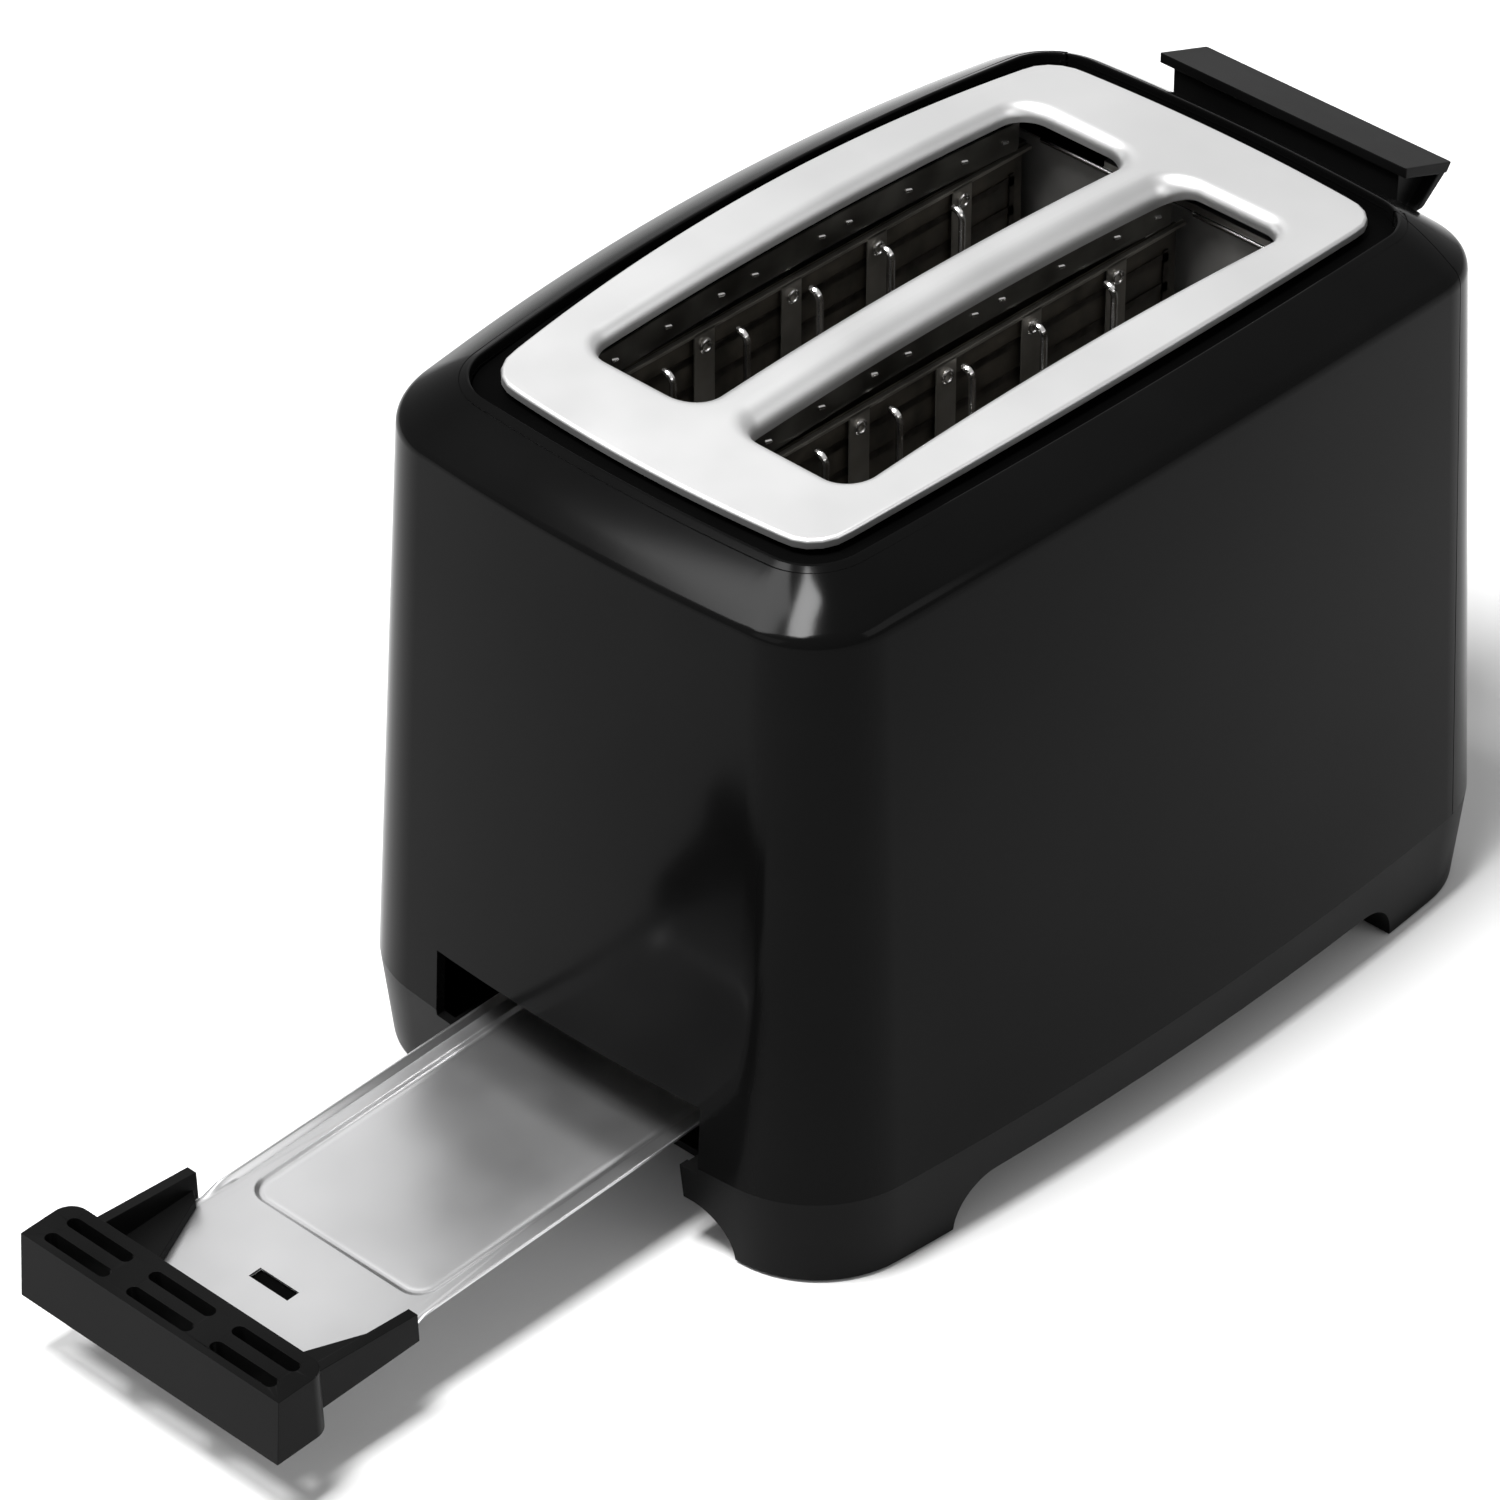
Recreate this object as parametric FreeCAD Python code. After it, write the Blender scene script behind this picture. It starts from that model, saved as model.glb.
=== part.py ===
import FreeCAD
import Part
import math
import os

# Two-slot pop-up toaster. Millimetres, +Z up, floor at z = 0.
# +X is the lever end, -X is the crumb tray end, and the long slots run along X.
# Shapes are drawn about the middle of the housing and moved along X when written, so that
# the origin lies on the floor under the middle of the whole object's box.

V = FreeCAD.Vector

# ---- driving dimensions -------------------------------------------------------------------
BODY_LENGTH_LOW = 247.2      # housing, at the seam above the base
BODY_WIDTH_LOW = 166.4
BODY_CORNER_LOW = 29.0
END_DRAFT = 0.0506           # inward lean of each end wall per millimetre of height
SIDE_DRAFT = 0.0494
END_BOW = 575.0              # plan radius of the bowed end walls
SIDE_BOW = 1000.0            # plan radius of the bowed broad walls
TOP_ARCH = 1250.0            # radius of the long arch of the top
SEAM_Z = 24.8                # joint between housing and base
CROWN_Z = 184.6              # highest line of the housing
BEVEL_IN = 13.4
BEVEL_DOWN = 8.1
WALL = 2.5
PARTING_X = 98.1             # joint between outer shell and end cover
PARTING_GAP = 0.7
BLOCK_REACH = 160.0          # half size of the blocks that trim the whole body
OVERSHOOT = 1.0              # how far a cutting block runs past the face it cuts

MOUTH_HALF_LENGTH = 101.4    # opening in the housing's top
MOUTH_HALF_WIDTH = 60.4
MOUTH_CORNER = 13.4
LIP_DEPTH = 8.0

PLATE_HALF_LENGTH = 96.0
PLATE_HALF_WIDTH = 55.6
PLATE_CORNER = 10.5
PLATE_END_BOW = 444.0
PLATE_SIDE_BOW = 800.0
PLATE_Z = 186.8
PLATE_SHEET = 1.0
PLATE_RIM = 5.0
FIT_GAP = 0.2                # clearance on each side of a fitted piece

SLOT_Y = 23.6                # bread slot centres
SLOT_HALF_LENGTH = 72.4
SLOT_HALF_WIDTH = 16.8
SLOT_CORNER = 7.0
SLOT_LIP = 3.5
SLOT_LIP_ROUND = 3.2         # radius of the rolled edge of each slot
TRIM_HALF_LENGTH = 78.0      # opening in the black ring under the plate
TRIM_HALF_WIDTH = 44.5

BASE_HALF_LENGTH = 120.6     # base outline at the floor
BASE_HALF_WIDTH = 81.1
BASE_CORNER = 27.0
PAD_HEIGHT = 0.8
FLOOR_Z = 13.0               # underside of the base plate
FLOOR_THICK = 2.0
ARCH_RADIUS = 12.2
SIDE_SPAN = 76.5             # half the clear span between the feet
END_SPAN = 50.0
FOOT_SOLE = 2.5
POCKET_WALL = 3.7            # wall round the hollow in each foot
GATE_HALF_WIDTH = 36.3       # base wall cut away for the tray
GATE_STEP = 1.8              # notch above it, down from the seam
RIB_TOP = 22.4
VENT_WIDTH = 3.2
VENT_LENGTH = 28.0
VENT_Y = 22.0
VENT_PITCH = 12
VENTS_EACH_WAY = 5
SCREW_X = 86.0
SCREW_Y = 33.0
SCREW_RADIUS = 1.5
SCREW_HOLE = 1.8
SCREW_HEAD_RADIUS = 3.2
SCREW_HEAD_HEIGHT = 1.6
PAD_X = 97.0
PAD_Y = 62.5
PAD_RADIUS = 7.0
PAD_SINK = 1.2               # depth of each pad in its foot
GLAND_X = -52.0
GLAND_Z = 19.9
GLAND_RADIUS = 4.2
GLAND_BORE = 3.3

TRAY_TILT = 2.5              # degrees, down towards the handle
TRAY_PULL = 127.5            # travel from closed to the modelled place
TRAY_FRONT_X = -250.9        # handle front, tray pulled out
TRAY_FRONT_Z = 21.6          # height of the tray's rim at the handle front
TRAY_HALF_WIDTH = 33.5
TRAY_LENGTH = 212.0
TRAY_SHEET = 0.6
TRAY_RIM = 1.6
TRAY_WALL = 1.2              # folded edge of the tray
TRAY_PANEL_X = 55.0          # pressed panel, from the handle front
TRAY_PANEL_MARGIN = 10.0
TRAY_PANEL_HALF_WIDTH = 28.5
TRAY_PANEL_CORNER = 6.0
TRAY_PANEL_DROP = 0.8
HANDLE_HALF_LENGTH = 41.2
HANDLE_DEPTH = 16.8
HANDLE_HEIGHT = 16.9
HANDLE_LOW = -4.0            # bar's underside, below the tray's rim
HANDLE_LEAN = 1.8
HANDLE_REAR_ROUND = 5.0
CHEEK_FACE = 34.0            # inner face of the cheeks beside the tray
CHEEK_THICK = 2.8
RAIL_OUTER = 38.8
RAIL_WALL = 1.2
RAIL_SHELF = 30.6
OPENING_HALF_WIDTH = 41.9    # tray opening
OPENING_TOP = 41.4

TRAVEL = 70.0                # carriage stroke
END_PLATE_X = 79.2           # inner face of each chassis end plate
CHASSIS_TOP = 170.0
CHASSIS_LOW = 42.0
SHEET = 0.8
CHASSIS_HALF_WIDTH = 52.0
LEG_WIDTH = 8.5
FLANGE_REACH = 92.0          # how far the chassis feet reach outward
REFLECTOR_Y = 49.0
REFLECTOR_LIP = 3.6
ROD_X = 90.0
ROD_RADIUS = 2.5
ROD_CLEARANCE = 0.05
BUSH_LOW = 132.0             # underside of the carriage bush, raised
SPRING_RADIUS = 3.3
SPRING_WIRE = 0.45
SPRING_TURNS = 13.0
RACK_Z = 119.0               # underside of the bread racks, raised
RACK_HEIGHT = 8.0
RACK_HALF_THICK = 1.0
RACK_TOOTH_HALF_LENGTH = 6.0
RACK_PITCH = 22
BRACKET_X = 84.0             # carriage plate behind the chamber
BRACKET_THICK = 2.0
BRACKET_TOP = 146.0
BRACKET_HALF_WIDTH = 30.0
ARM_LOW = 154.0              # lever arm through the control panel
ARM_HIGH = 160.0
ARM_HALF_WIDTH = 3.0
ARM_INNER_X = 95.5
SHELF_OUTER_X = 98.0
SHELF_LOW = 42.0             # lower shelf of the guide rod
SHELF_THICK = 2.0

KNOB_HALF_LENGTH = 37.8      # lever knob
KNOB_INSET = 3.3
KNOB_SKIN = 2.4
KNOB_TOP = (117.3, 178.7)    # x and z of the sloping top's inner edge
KNOB_TIP = (134.3, 173.1)
KNOB_TOE = (124.2, 164.8)
KNOB_WEB_X = 118.7
KNOB_WEB_TOP = 176.5

MAGNET_X = (88.0, 97.0)
MAGNET_LEG = 4.0
MAGNET_LOW_Y = -28.0
MAGNET_HIGH_Y = -12.0
MAGNET_BASE_Z = 44.0
MAGNET_TOP_Z = 62.5
ARMATURE_Z = (133.0, 136.0)

PANEL_FACE_X = 116.0         # control panel front
PANEL_THICK = 2.2
PANEL_HALF_WIDTH = 42.0
PANEL_LOW = 34.0
PANEL_HIGH = 168.0
PANEL_LEDGE = 1.8            # seat behind the panel
POST_RADIUS = 2.6
POST_Y = 35.0
POST_LOW = 41.0
POST_HIGH = 75.0
BOARD_X = 104.0
BOARD_THICK = 1.6
BOARD_HALF_WIDTH = 38.0
BOARD_LOW = 37.0
BOARD_HIGH = 79.0
DIAL_Z = 58.0
DIAL_RADIUS = 16.0
DIAL_GRIP_RADIUS = 11.5
DIAL_HOLE = 3.5
DIAL_SHAFT = 3.0
DIAL_GROOVES = 12
BUTTONS = (("defrost_button", -28.0, 67.0), ("reheat_button", -28.0, 50.0),
           ("stop_button", 28.0, 52.0))
BUTTON_HALF_WIDTH = 6.5
BUTTON_HALF_HEIGHT = 4.5
BUTTON_GAP = 0.4
BUTTON_STROKE = 2.0
SWITCH_HEIGHT = 2.1
SWITCH_HALF = 3.0
LENS_PLACE = (28.0, 69.0)
LENS_RADIUS = 2.3

GUIDE_OFFSET = 13.5          # bread guide wires, from the middle of their slot
GUIDE_PITCH = 24.0
GUIDE_LOW = 50.0             # pivot of each guide grid
GUIDE_HIGH = 163.0
GUIDE_RADIUS = 0.9
GUIDE_HALF_LENGTH = 77.0
GUIDE_TIP = 3.0

HEATER_OUTER_Y = 43.0        # slot-side faces of the heater boards
HEATER_INNER_Y = 5.0
HEATER_HALF_LENGTH = 75.0
HEATER_LOW = 58.0
HEATER_HIGH = 160.0
HEATER_THICK = 0.8
WIRE_RADIUS = 0.3
WIRE_OFFSET = 0.4
WIRE_PITCH = 8
FRAME_HALF_LENGTH = 77.0
FRAME_DEPTH = 1.4
STRAP_X = (-62.0, -21.0, 21.0, 62.0)
STRAP_HALF_WIDTH = 3.0
CHANNEL_LOW = 158.0
CHANNEL_HIGH = 167.0
RAIL_LOW = 54.0
RIVET_X = (-68.0, -41.0, 0.0, 41.0, 68.0)
RIVET_RADIUS = 1.4
RIVET_HEIGHT = 0.7


# ---- small helpers ------------------------------------------------------------------------
def box(x, y, z):
    """Box from three (low, high) pairs."""
    return Part.makeBox(x[1] - x[0], y[1] - y[0], z[1] - z[0], V(x[0], y[0], z[0]))


def rod(start, end, radius):
    """Round bar between two points."""
    along = V(*end) - V(*start)
    return Part.makeCylinder(radius, along.Length, V(*start), along)


def fuse(shapes):
    """One shape from a list of touching or overlapping ones."""
    first, rest = shapes[0], shapes[1:]
    return first.fuse(rest).removeSplitter() if rest else first


def sided(side, near, far):
    """Low and high of the span between two distances on one side of the middle."""
    return tuple(sorted((side * near, side * far)))


def mirror_y(shape):
    return shape.mirror(V(0, 0, 0), V(0, 1, 0))


def outline(half_length, half_width, corner, z, end_bow=END_BOW, side_bow=SIDE_BOW):
    """Closed plan outline: bowed ends and sides joined by tangent corner arcs."""
    side_centre = V(0, half_width - side_bow, 0)
    end_centre = V(half_length - end_bow, 0, 0)
    across = end_centre - side_centre
    side_reach = side_bow - corner
    end_reach = end_bow - corner
    gap = across.Length
    along = (side_reach ** 2 - end_reach ** 2 + gap ** 2) / (2 * gap)
    height = math.sqrt(side_reach ** 2 - along ** 2)
    unit = across / gap
    normal = V(unit.y, -unit.x, 0)
    centre = side_centre + unit * along + normal * height
    on_side = side_centre + (centre - side_centre) * (side_bow / side_reach)
    on_end = end_centre + (centre - end_centre) * (end_bow / end_reach)
    outward = (on_side + on_end) * 0.5 - centre
    on_corner = centre + outward * (corner / outward.Length)
    stops = [on_end, on_side]
    quadrant_points = []
    for sx, sy, order in ((1, 1, 1), (-1, 1, -1), (-1, -1, 1), (1, -1, -1)):
        near, far = stops[::order]
        quadrant_points.append([V(p.x * sx, p.y * sy, z) for p in (near, on_corner, far)])
    middles = [V(0, half_width, z), V(-half_length, 0, z),
               V(0, -half_width, z), V(half_length, 0, z)]
    edges = []
    for index, (near, middle, far) in enumerate(quadrant_points):
        following = quadrant_points[(index + 1) % len(quadrant_points)][0]
        edges.append(Part.Arc(near, middle, far).toShape())
        edges.append(Part.Arc(far, middles[index], following).toShape())
    return Part.Wire(edges)


def prism(wire, height):
    return Part.Face(wire).extrude(V(0, 0, height))


def rounded_prism(half_length, half_width, corner, z_low, z_high, centre_y=0.0):
    """Upright block with rounded vertical edges."""
    block = box((-half_length, half_length), (centre_y - half_width, centre_y + half_width),
                (z_low, z_high))
    upright = [e for e in block.Edges if e.BoundBox.ZLength > 0.5 * (z_high - z_low)]
    return block.makeFillet(corner, upright)


def arched_block(crown, low=0.0, reach=BLOCK_REACH):
    """Everything under the long arch whose crown is at the given height."""
    drop = reach ** 2 / (2 * TOP_ARCH)
    left, right = V(-reach, -reach, crown - drop), V(reach, -reach, crown - drop)
    edges = [
        Part.Arc(left, V(0, -reach, crown), right).toShape(),
        Part.LineSegment(right, V(reach, -reach, low)).toShape(),
        Part.LineSegment(V(reach, -reach, low), V(-reach, -reach, low)).toShape(),
        Part.LineSegment(V(-reach, -reach, low), left).toShape(),
    ]
    return Part.Face(Part.Wire(edges)).extrude(V(0, 2 * reach, 0))


def arched_layer(crown, thickness):
    return arched_block(crown).cut(arched_block(crown - thickness))


# ---- housing ------------------------------------------------------------------------------
def body_ring(z, inset):
    rise = z - SEAM_Z
    return outline(0.5 * BODY_LENGTH_LOW - END_DRAFT * rise - inset,
                   0.5 * BODY_WIDTH_LOW - SIDE_DRAFT * rise - inset,
                   BODY_CORNER_LOW - inset, z)


def body_solid(inset, crown):
    """Drafted housing volume under its arched top, with the wide bevel round the top."""
    block = Part.makeLoft([body_ring(SEAM_Z, inset), body_ring(CROWN_Z + BEVEL_DOWN, inset)], True, True)
    block = block.common(arched_block(crown))
    top = max(block.Faces, key=lambda face: face.CenterOfMass.z)
    return block.makeChamfer(BEVEL_IN, BEVEL_DOWN, top.Edges)


def mouth_ring(grow, z):
    return outline(MOUTH_HALF_LENGTH + grow, MOUTH_HALF_WIDTH + grow, MOUTH_CORNER + grow, z)


def mouth_block(grow):
    """Upright block as wide as the mouth, from inside the housing to above it."""
    return prism(mouth_ring(grow, 0.5 * CROWN_Z), CROWN_Z)


def housing():
    """Whole housing wall, before it is parted into shell and end cover."""
    walls = body_solid(0.0, CROWN_Z).cut(body_solid(WALL, CROWN_Z - WALL))
    lip = mouth_block(WALL).cut(mouth_block(0.0)).common(arched_layer(CROWN_Z, LIP_DEPTH))
    return walls.fuse(lip).cut(mouth_block(0.0))


def end_block(start, reach):
    """Everything between two places along X."""
    return box((start, reach), (-BLOCK_REACH, BLOCK_REACH), (0, 2 * BLOCK_REACH))


def outer_shell(walls):
    kept = walls.common(end_block(-BLOCK_REACH, PARTING_X - 0.5 * PARTING_GAP))
    mouth = box((-BLOCK_REACH, -MOUTH_HALF_LENGTH), (-OPENING_HALF_WIDTH, OPENING_HALF_WIDTH),
                (0, OPENING_TOP))
    return kept.cut(mouth)


def end_cover(walls):
    """Lever end of the housing, with an upright recess that holds the control panel."""
    kept = walls.common(end_block(PARTING_X + 0.5 * PARTING_GAP, BLOCK_REACH))
    half = PANEL_HALF_WIDTH
    back = PANEL_FACE_X - PANEL_THICK
    liner = box((back - PANEL_LEDGE, BLOCK_REACH), (-half - WALL, half + WALL),
                (PANEL_LOW - WALL, PANEL_HIGH + WALL))
    liner = liner.common(body_solid(0.0, CROWN_Z))
    recess = box((PANEL_FACE_X, BLOCK_REACH), (-half, half), (PANEL_LOW, 2 * BLOCK_REACH))
    seat = box((back, BLOCK_REACH), (-half, half), (PANEL_LOW, PANEL_HIGH))
    window = box((PARTING_X, BLOCK_REACH), (WALL - half, half - WALL),
                 (PANEL_LOW + WALL, PANEL_HIGH - WALL))
    return kept.fuse(liner).cut([recess, seat, window])


# ---- top ----------------------------------------------------------------------------------
def plate_ring(grow, z):
    return outline(PLATE_HALF_LENGTH + grow, PLATE_HALF_WIDTH + grow, PLATE_CORNER + grow, z,
                   PLATE_END_BOW, PLATE_SIDE_BOW)


def plate_block(grow):
    return prism(plate_ring(grow, 0.5 * PLATE_Z), PLATE_Z)


def slot_block(grow, side):
    return rounded_prism(SLOT_HALF_LENGTH + grow, SLOT_HALF_WIDTH + grow, SLOT_CORNER + grow,
                         0.5 * PLATE_Z, 1.5 * PLATE_Z, side * SLOT_Y)


def top_plate():
    """Steel plate with a folded rim and two slots with rolled lips."""
    sheet = plate_block(0.0).common(arched_layer(PLATE_Z, PLATE_SHEET))
    rim = plate_block(0.0).cut(plate_block(-PLATE_SHEET))
    lips = slot_block(SLOT_LIP, -1).fuse(slot_block(SLOT_LIP, 1))
    folded = [piece.common(arched_layer(PLATE_Z, PLATE_RIM)) for piece in (rim, lips)]
    plate = sheet.fuse(folded)
    for side in (-1, 1):
        plate = plate.cut(slot_block(0.0, side))
    plate = plate.removeSplitter()
    upper = [face for face in plate.Faces if face.CenterOfMass.z > PLATE_Z - SLOT_LIP]
    top = max(upper, key=lambda face: face.Area)
    inner = [wire for wire in top.Wires if not wire.isSame(top.OuterWire)]
    return plate.makeFillet(SLOT_LIP_ROUND, [edge for wire in inner for edge in wire.Edges])


def top_trim():
    """Black ring in the groove between the plate and the housing."""
    ring = mouth_block(-FIT_GAP).common(arched_layer(PLATE_Z - PLATE_RIM, WALL))
    return ring.cut(box((-TRIM_HALF_LENGTH, TRIM_HALF_LENGTH), (-TRIM_HALF_WIDTH, TRIM_HALF_WIDTH),
                        (0, 2 * BLOCK_REACH)))


# ---- base ---------------------------------------------------------------------------------
def base_solid(inset, low):
    """Base volume from a given height up to the seam."""
    share = (low - PAD_HEIGHT) / (SEAM_Z - PAD_HEIGHT)
    half_length = BASE_HALF_LENGTH + share * (0.5 * BODY_LENGTH_LOW - BASE_HALF_LENGTH)
    half_width = BASE_HALF_WIDTH + share * (0.5 * BODY_WIDTH_LOW - BASE_HALF_WIDTH)
    corner = BASE_CORNER + share * (BODY_CORNER_LOW - BASE_CORNER)
    foot = outline(half_length - inset, half_width - inset, corner - inset, low)
    return Part.makeLoft([foot, body_ring(SEAM_Z, inset)], True, True)


def span_void(half_span, along_y):
    """Space between two feet: a flat top with a round corner down each foot."""
    inner = half_span - ARCH_RADIUS
    across = (-BLOCK_REACH, BLOCK_REACH)
    parts = [box((-inner, inner), across, (-OVERSHOOT, FLOOR_Z)),
             box((-half_span, half_span), across, (-OVERSHOOT, PAD_HEIGHT))]
    for side in (-1, 1):
        parts.append(rod((side * inner, -BLOCK_REACH, PAD_HEIGHT),
                         (side * inner, BLOCK_REACH, PAD_HEIGHT), ARCH_RADIUS))
    void = fuse(parts)
    if not along_y:
        void.rotate(V(0, 0, 0), V(0, 0, 1), 90)
    return void


def foot_pockets():
    """Hollows inside the four feet, above their soles."""
    hollow = base_solid(POCKET_WALL, PAD_HEIGHT + FOOT_SOLE)
    full = (-BLOCK_REACH, BLOCK_REACH)
    side_half = SIDE_SPAN + WALL
    end_half = END_SPAN + WALL
    return hollow.cut([box((-side_half, side_half), full, (0, OPENING_TOP)),
                       box(full, (-end_half, end_half), (0, OPENING_TOP))])


def vents():
    low, high = FLOOR_Z - OVERSHOOT, FLOOR_Z + FLOOR_THICK + OVERSHOOT
    middles = [VENT_PITCH * index for index in range(-VENTS_EACH_WAY, VENTS_EACH_WAY + 1)]
    return [box((x - 0.5 * VENT_WIDTH, x + 0.5 * VENT_WIDTH),
                sided(side, VENT_Y - 0.5 * VENT_LENGTH, VENT_Y + 0.5 * VENT_LENGTH), (low, high))
            for x in middles for side in (-1, 1)]


def base():
    """Black base: corner feet, hollow inside, with the tray's gate in its -X wall."""
    floor_top = FLOOR_Z + FLOOR_THICK
    end = -BLOCK_REACH
    gate_x = -109.0
    rib_x = (-119.5, -100.0)
    block = base_solid(0.0, PAD_HEIGHT).cut(base_solid(WALL, floor_top))
    block = block.cut([foot_pockets(), span_void(SIDE_SPAN, True), span_void(END_SPAN, False)])
    block = block.cut([
        box((end, gate_x), (-GATE_HALF_WIDTH, GATE_HALF_WIDTH), (-OVERSHOOT, OPENING_TOP)),
        box((end, rib_x[1]), (-OPENING_HALF_WIDTH, OPENING_HALF_WIDTH),
            (SEAM_Z - GATE_STEP, OPENING_TOP)),
    ])
    ribs = [box(rib_x, sided(side, GATE_HALF_WIDTH, GATE_HALF_WIDTH + WALL), (FLOOR_Z, RIB_TOP))
            for side in (-1, 1)]
    block = block.fuse(ribs)
    holes = [rod((x, y, 0), (x, y, SEAM_Z), SCREW_HOLE) for x, y in screw_places()]
    seats = [rod((x, y, -OVERSHOOT), (x, y, PAD_HEIGHT + PAD_SINK), PAD_RADIUS + 0.3)
             for x, y in pad_places()]
    gland = rod((GLAND_X, BASE_HALF_WIDTH - 20, GLAND_Z), (GLAND_X, BASE_HALF_WIDTH + 20, GLAND_Z),
                GLAND_RADIUS + 0.5 * FIT_GAP)
    return block.cut(vents() + holes + seats + [gland])


def screw_places():
    return [(x, y) for x in (-SCREW_X, SCREW_X) for y in (-SCREW_Y, SCREW_Y)]


def pad_places():
    return [(x, y) for x in (-PAD_X, PAD_X) for y in (-PAD_Y, PAD_Y)]


def foot_pads():
    pads = [rod((x, y, 0), (x, y, PAD_HEIGHT + PAD_SINK), PAD_RADIUS) for x, y in pad_places()]
    return Part.makeCompound(pads)


def base_screw(x, y):
    """Screw from under the base plate into the foot of a chassis end plate."""
    tip = FLOOR_Z + FLOOR_THICK + SHEET + 2.0
    head = rod((x, y, FLOOR_Z - SCREW_HEAD_HEIGHT), (x, y, FLOOR_Z), SCREW_HEAD_RADIUS)
    shank = rod((x, y, FLOOR_Z - 0.5), (x, y, tip), SCREW_RADIUS)
    return fuse([head, shank])


def base_screws():
    return Part.makeCompound([base_screw(x, y) for x, y in screw_places()])


def cord_gland():
    """Rubber bushing in the rear wall where a power cord would enter."""
    outer_y, wall_y, inner_y = 82.6, 77.2, 75.6
    sleeve = rod((GLAND_X, wall_y - FIT_GAP, GLAND_Z), (GLAND_X, outer_y, GLAND_Z), GLAND_RADIUS)
    collar = rod((GLAND_X, inner_y, GLAND_Z), (GLAND_X, wall_y, GLAND_Z), GLAND_RADIUS + 0.6)
    bore = rod((GLAND_X, inner_y - OVERSHOOT, GLAND_Z), (GLAND_X, outer_y + OVERSHOOT, GLAND_Z),
               GLAND_BORE)
    return fuse([sleeve, collar]).cut(bore)


def terminal_block():
    low, top, screw_depth, pitch = 15.0, 27.0, 7.0, 8.0
    block = box((-66, -42), (58, 68), (low, top))
    screws = [rod((-62 + pitch * index, 63, top - screw_depth), (-62 + pitch * index, 63, top + 1), 2.2)
              for index in range(3)]
    return block.cut(screws)


# ---- crumb tray ---------------------------------------------------------------------------
def tray_place(shape):
    """Move from the tray's own frame, handle front at x = 0 and rim at z = 0, to its place."""
    shape.rotate(V(0, 0, 0), V(0, 1, 0), -TRAY_TILT)
    shape.translate(V(TRAY_FRONT_X, 0, TRAY_FRONT_Z))
    return shape


def tray_panel(inset, low, high):
    """Block in the place of the tray's pressed panel."""
    half = 0.5 * (TRAY_LENGTH - TRAY_PANEL_X - TRAY_PANEL_MARGIN)
    block = rounded_prism(half - inset, TRAY_PANEL_HALF_WIDTH - inset, TRAY_PANEL_CORNER - inset,
                          low, high)
    block.translate(V(TRAY_PANEL_X + half, 0, 0))
    return block


def tray_sheet_local():
    """Steel tray: raised rims, a shallow pressed panel and a slot at the handle."""
    low = -TRAY_RIM - TRAY_SHEET
    sheet_start, rim_start = 9.0, 48.0
    width = (-TRAY_HALF_WIDTH, TRAY_HALF_WIDTH)
    plate = box((sheet_start, TRAY_LENGTH), width, (low, -TRAY_RIM))
    rims = [box((rim_start, TRAY_LENGTH), sided(side, TRAY_HALF_WIDTH - TRAY_WALL, TRAY_HALF_WIDTH),
                (low, 0.0)) for side in (-1, 1)]
    rims.append(box((TRAY_LENGTH - TRAY_WALL, TRAY_LENGTH), width, (low, 0.0)))
    cup = tray_panel(0.0, low - TRAY_PANEL_DROP, low + 0.1)
    pocket = tray_panel(0.7, low - 0.2, OVERSHOOT)
    hole = box((36.2, 39.8), (-6.2, 6.2), (low - OVERSHOOT, OVERSHOOT))
    return fuse([plate, cup] + rims).cut([pocket, hole])


def polygon_face(points):
    return Part.Face(Part.makePolygon(points + points[:1]))


def handle_bar():
    """Bar with a leaning front and rounded rear corners."""
    low, high, half = HANDLE_LOW, HANDLE_LOW + HANDLE_HEIGHT, HANDLE_HALF_LENGTH
    profile = polygon_face([V(0, -half, low), V(HANDLE_DEPTH, -half, low), V(HANDLE_DEPTH, -half, high),
                            V(HANDLE_LEAN, -half, high)])
    bar = profile.extrude(V(0, 2 * half, 0))
    rear = [e for e in bar.Edges if e.BoundBox.XMin > HANDLE_DEPTH - 0.1 and e.BoundBox.ZLength > 5]
    return bar.makeFillet(HANDLE_REAR_ROUND, rear)


def drain_slots():
    """Two rows of three slots through the handle bar."""
    low, high = HANDLE_LOW - OVERSHOOT, HANDLE_LOW + HANDLE_HEIGHT + OVERSHOOT
    slots = []
    for x in (5.4, 12.0):
        for y in (-26.5, 0.0, 26.5):
            slot = rounded_prism(10.0, 1.6, 1.55, low, high)
            slot.rotate(V(0, 0, 0), V(0, 0, 1), 90)
            slot.translate(V(x, y, 0))
            slots.append(slot)
    return slots


def tray_handle_local():
    """Handle bar with side cheeks and flat wings that hold the sheet."""
    root, cheek_end, wing_thick = 12.0, 47.0, 2.6
    pieces = [handle_bar()]
    for side in (-1, 1):
        y = min(side * CHEEK_FACE, side * (CHEEK_FACE + CHEEK_THICK))
        cheek = polygon_face([V(root, y, -2.2), V(cheek_end, y, -2.2), V(cheek_end, y, 5.5),
                              V(root, y, 9.2)])
        wing = polygon_face([V(root, side * 17, -TRAY_RIM), V(44, side * 31.5, -TRAY_RIM),
                             V(46, side * 34.5, -TRAY_RIM), V(root, side * 34.5, -TRAY_RIM)])
        pieces += [cheek.extrude(V(0, CHEEK_THICK, 0)), wing.extrude(V(0, 0, wing_thick))]
    return fuse(pieces).cut(drain_slots() + [tray_sheet_local()])


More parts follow.
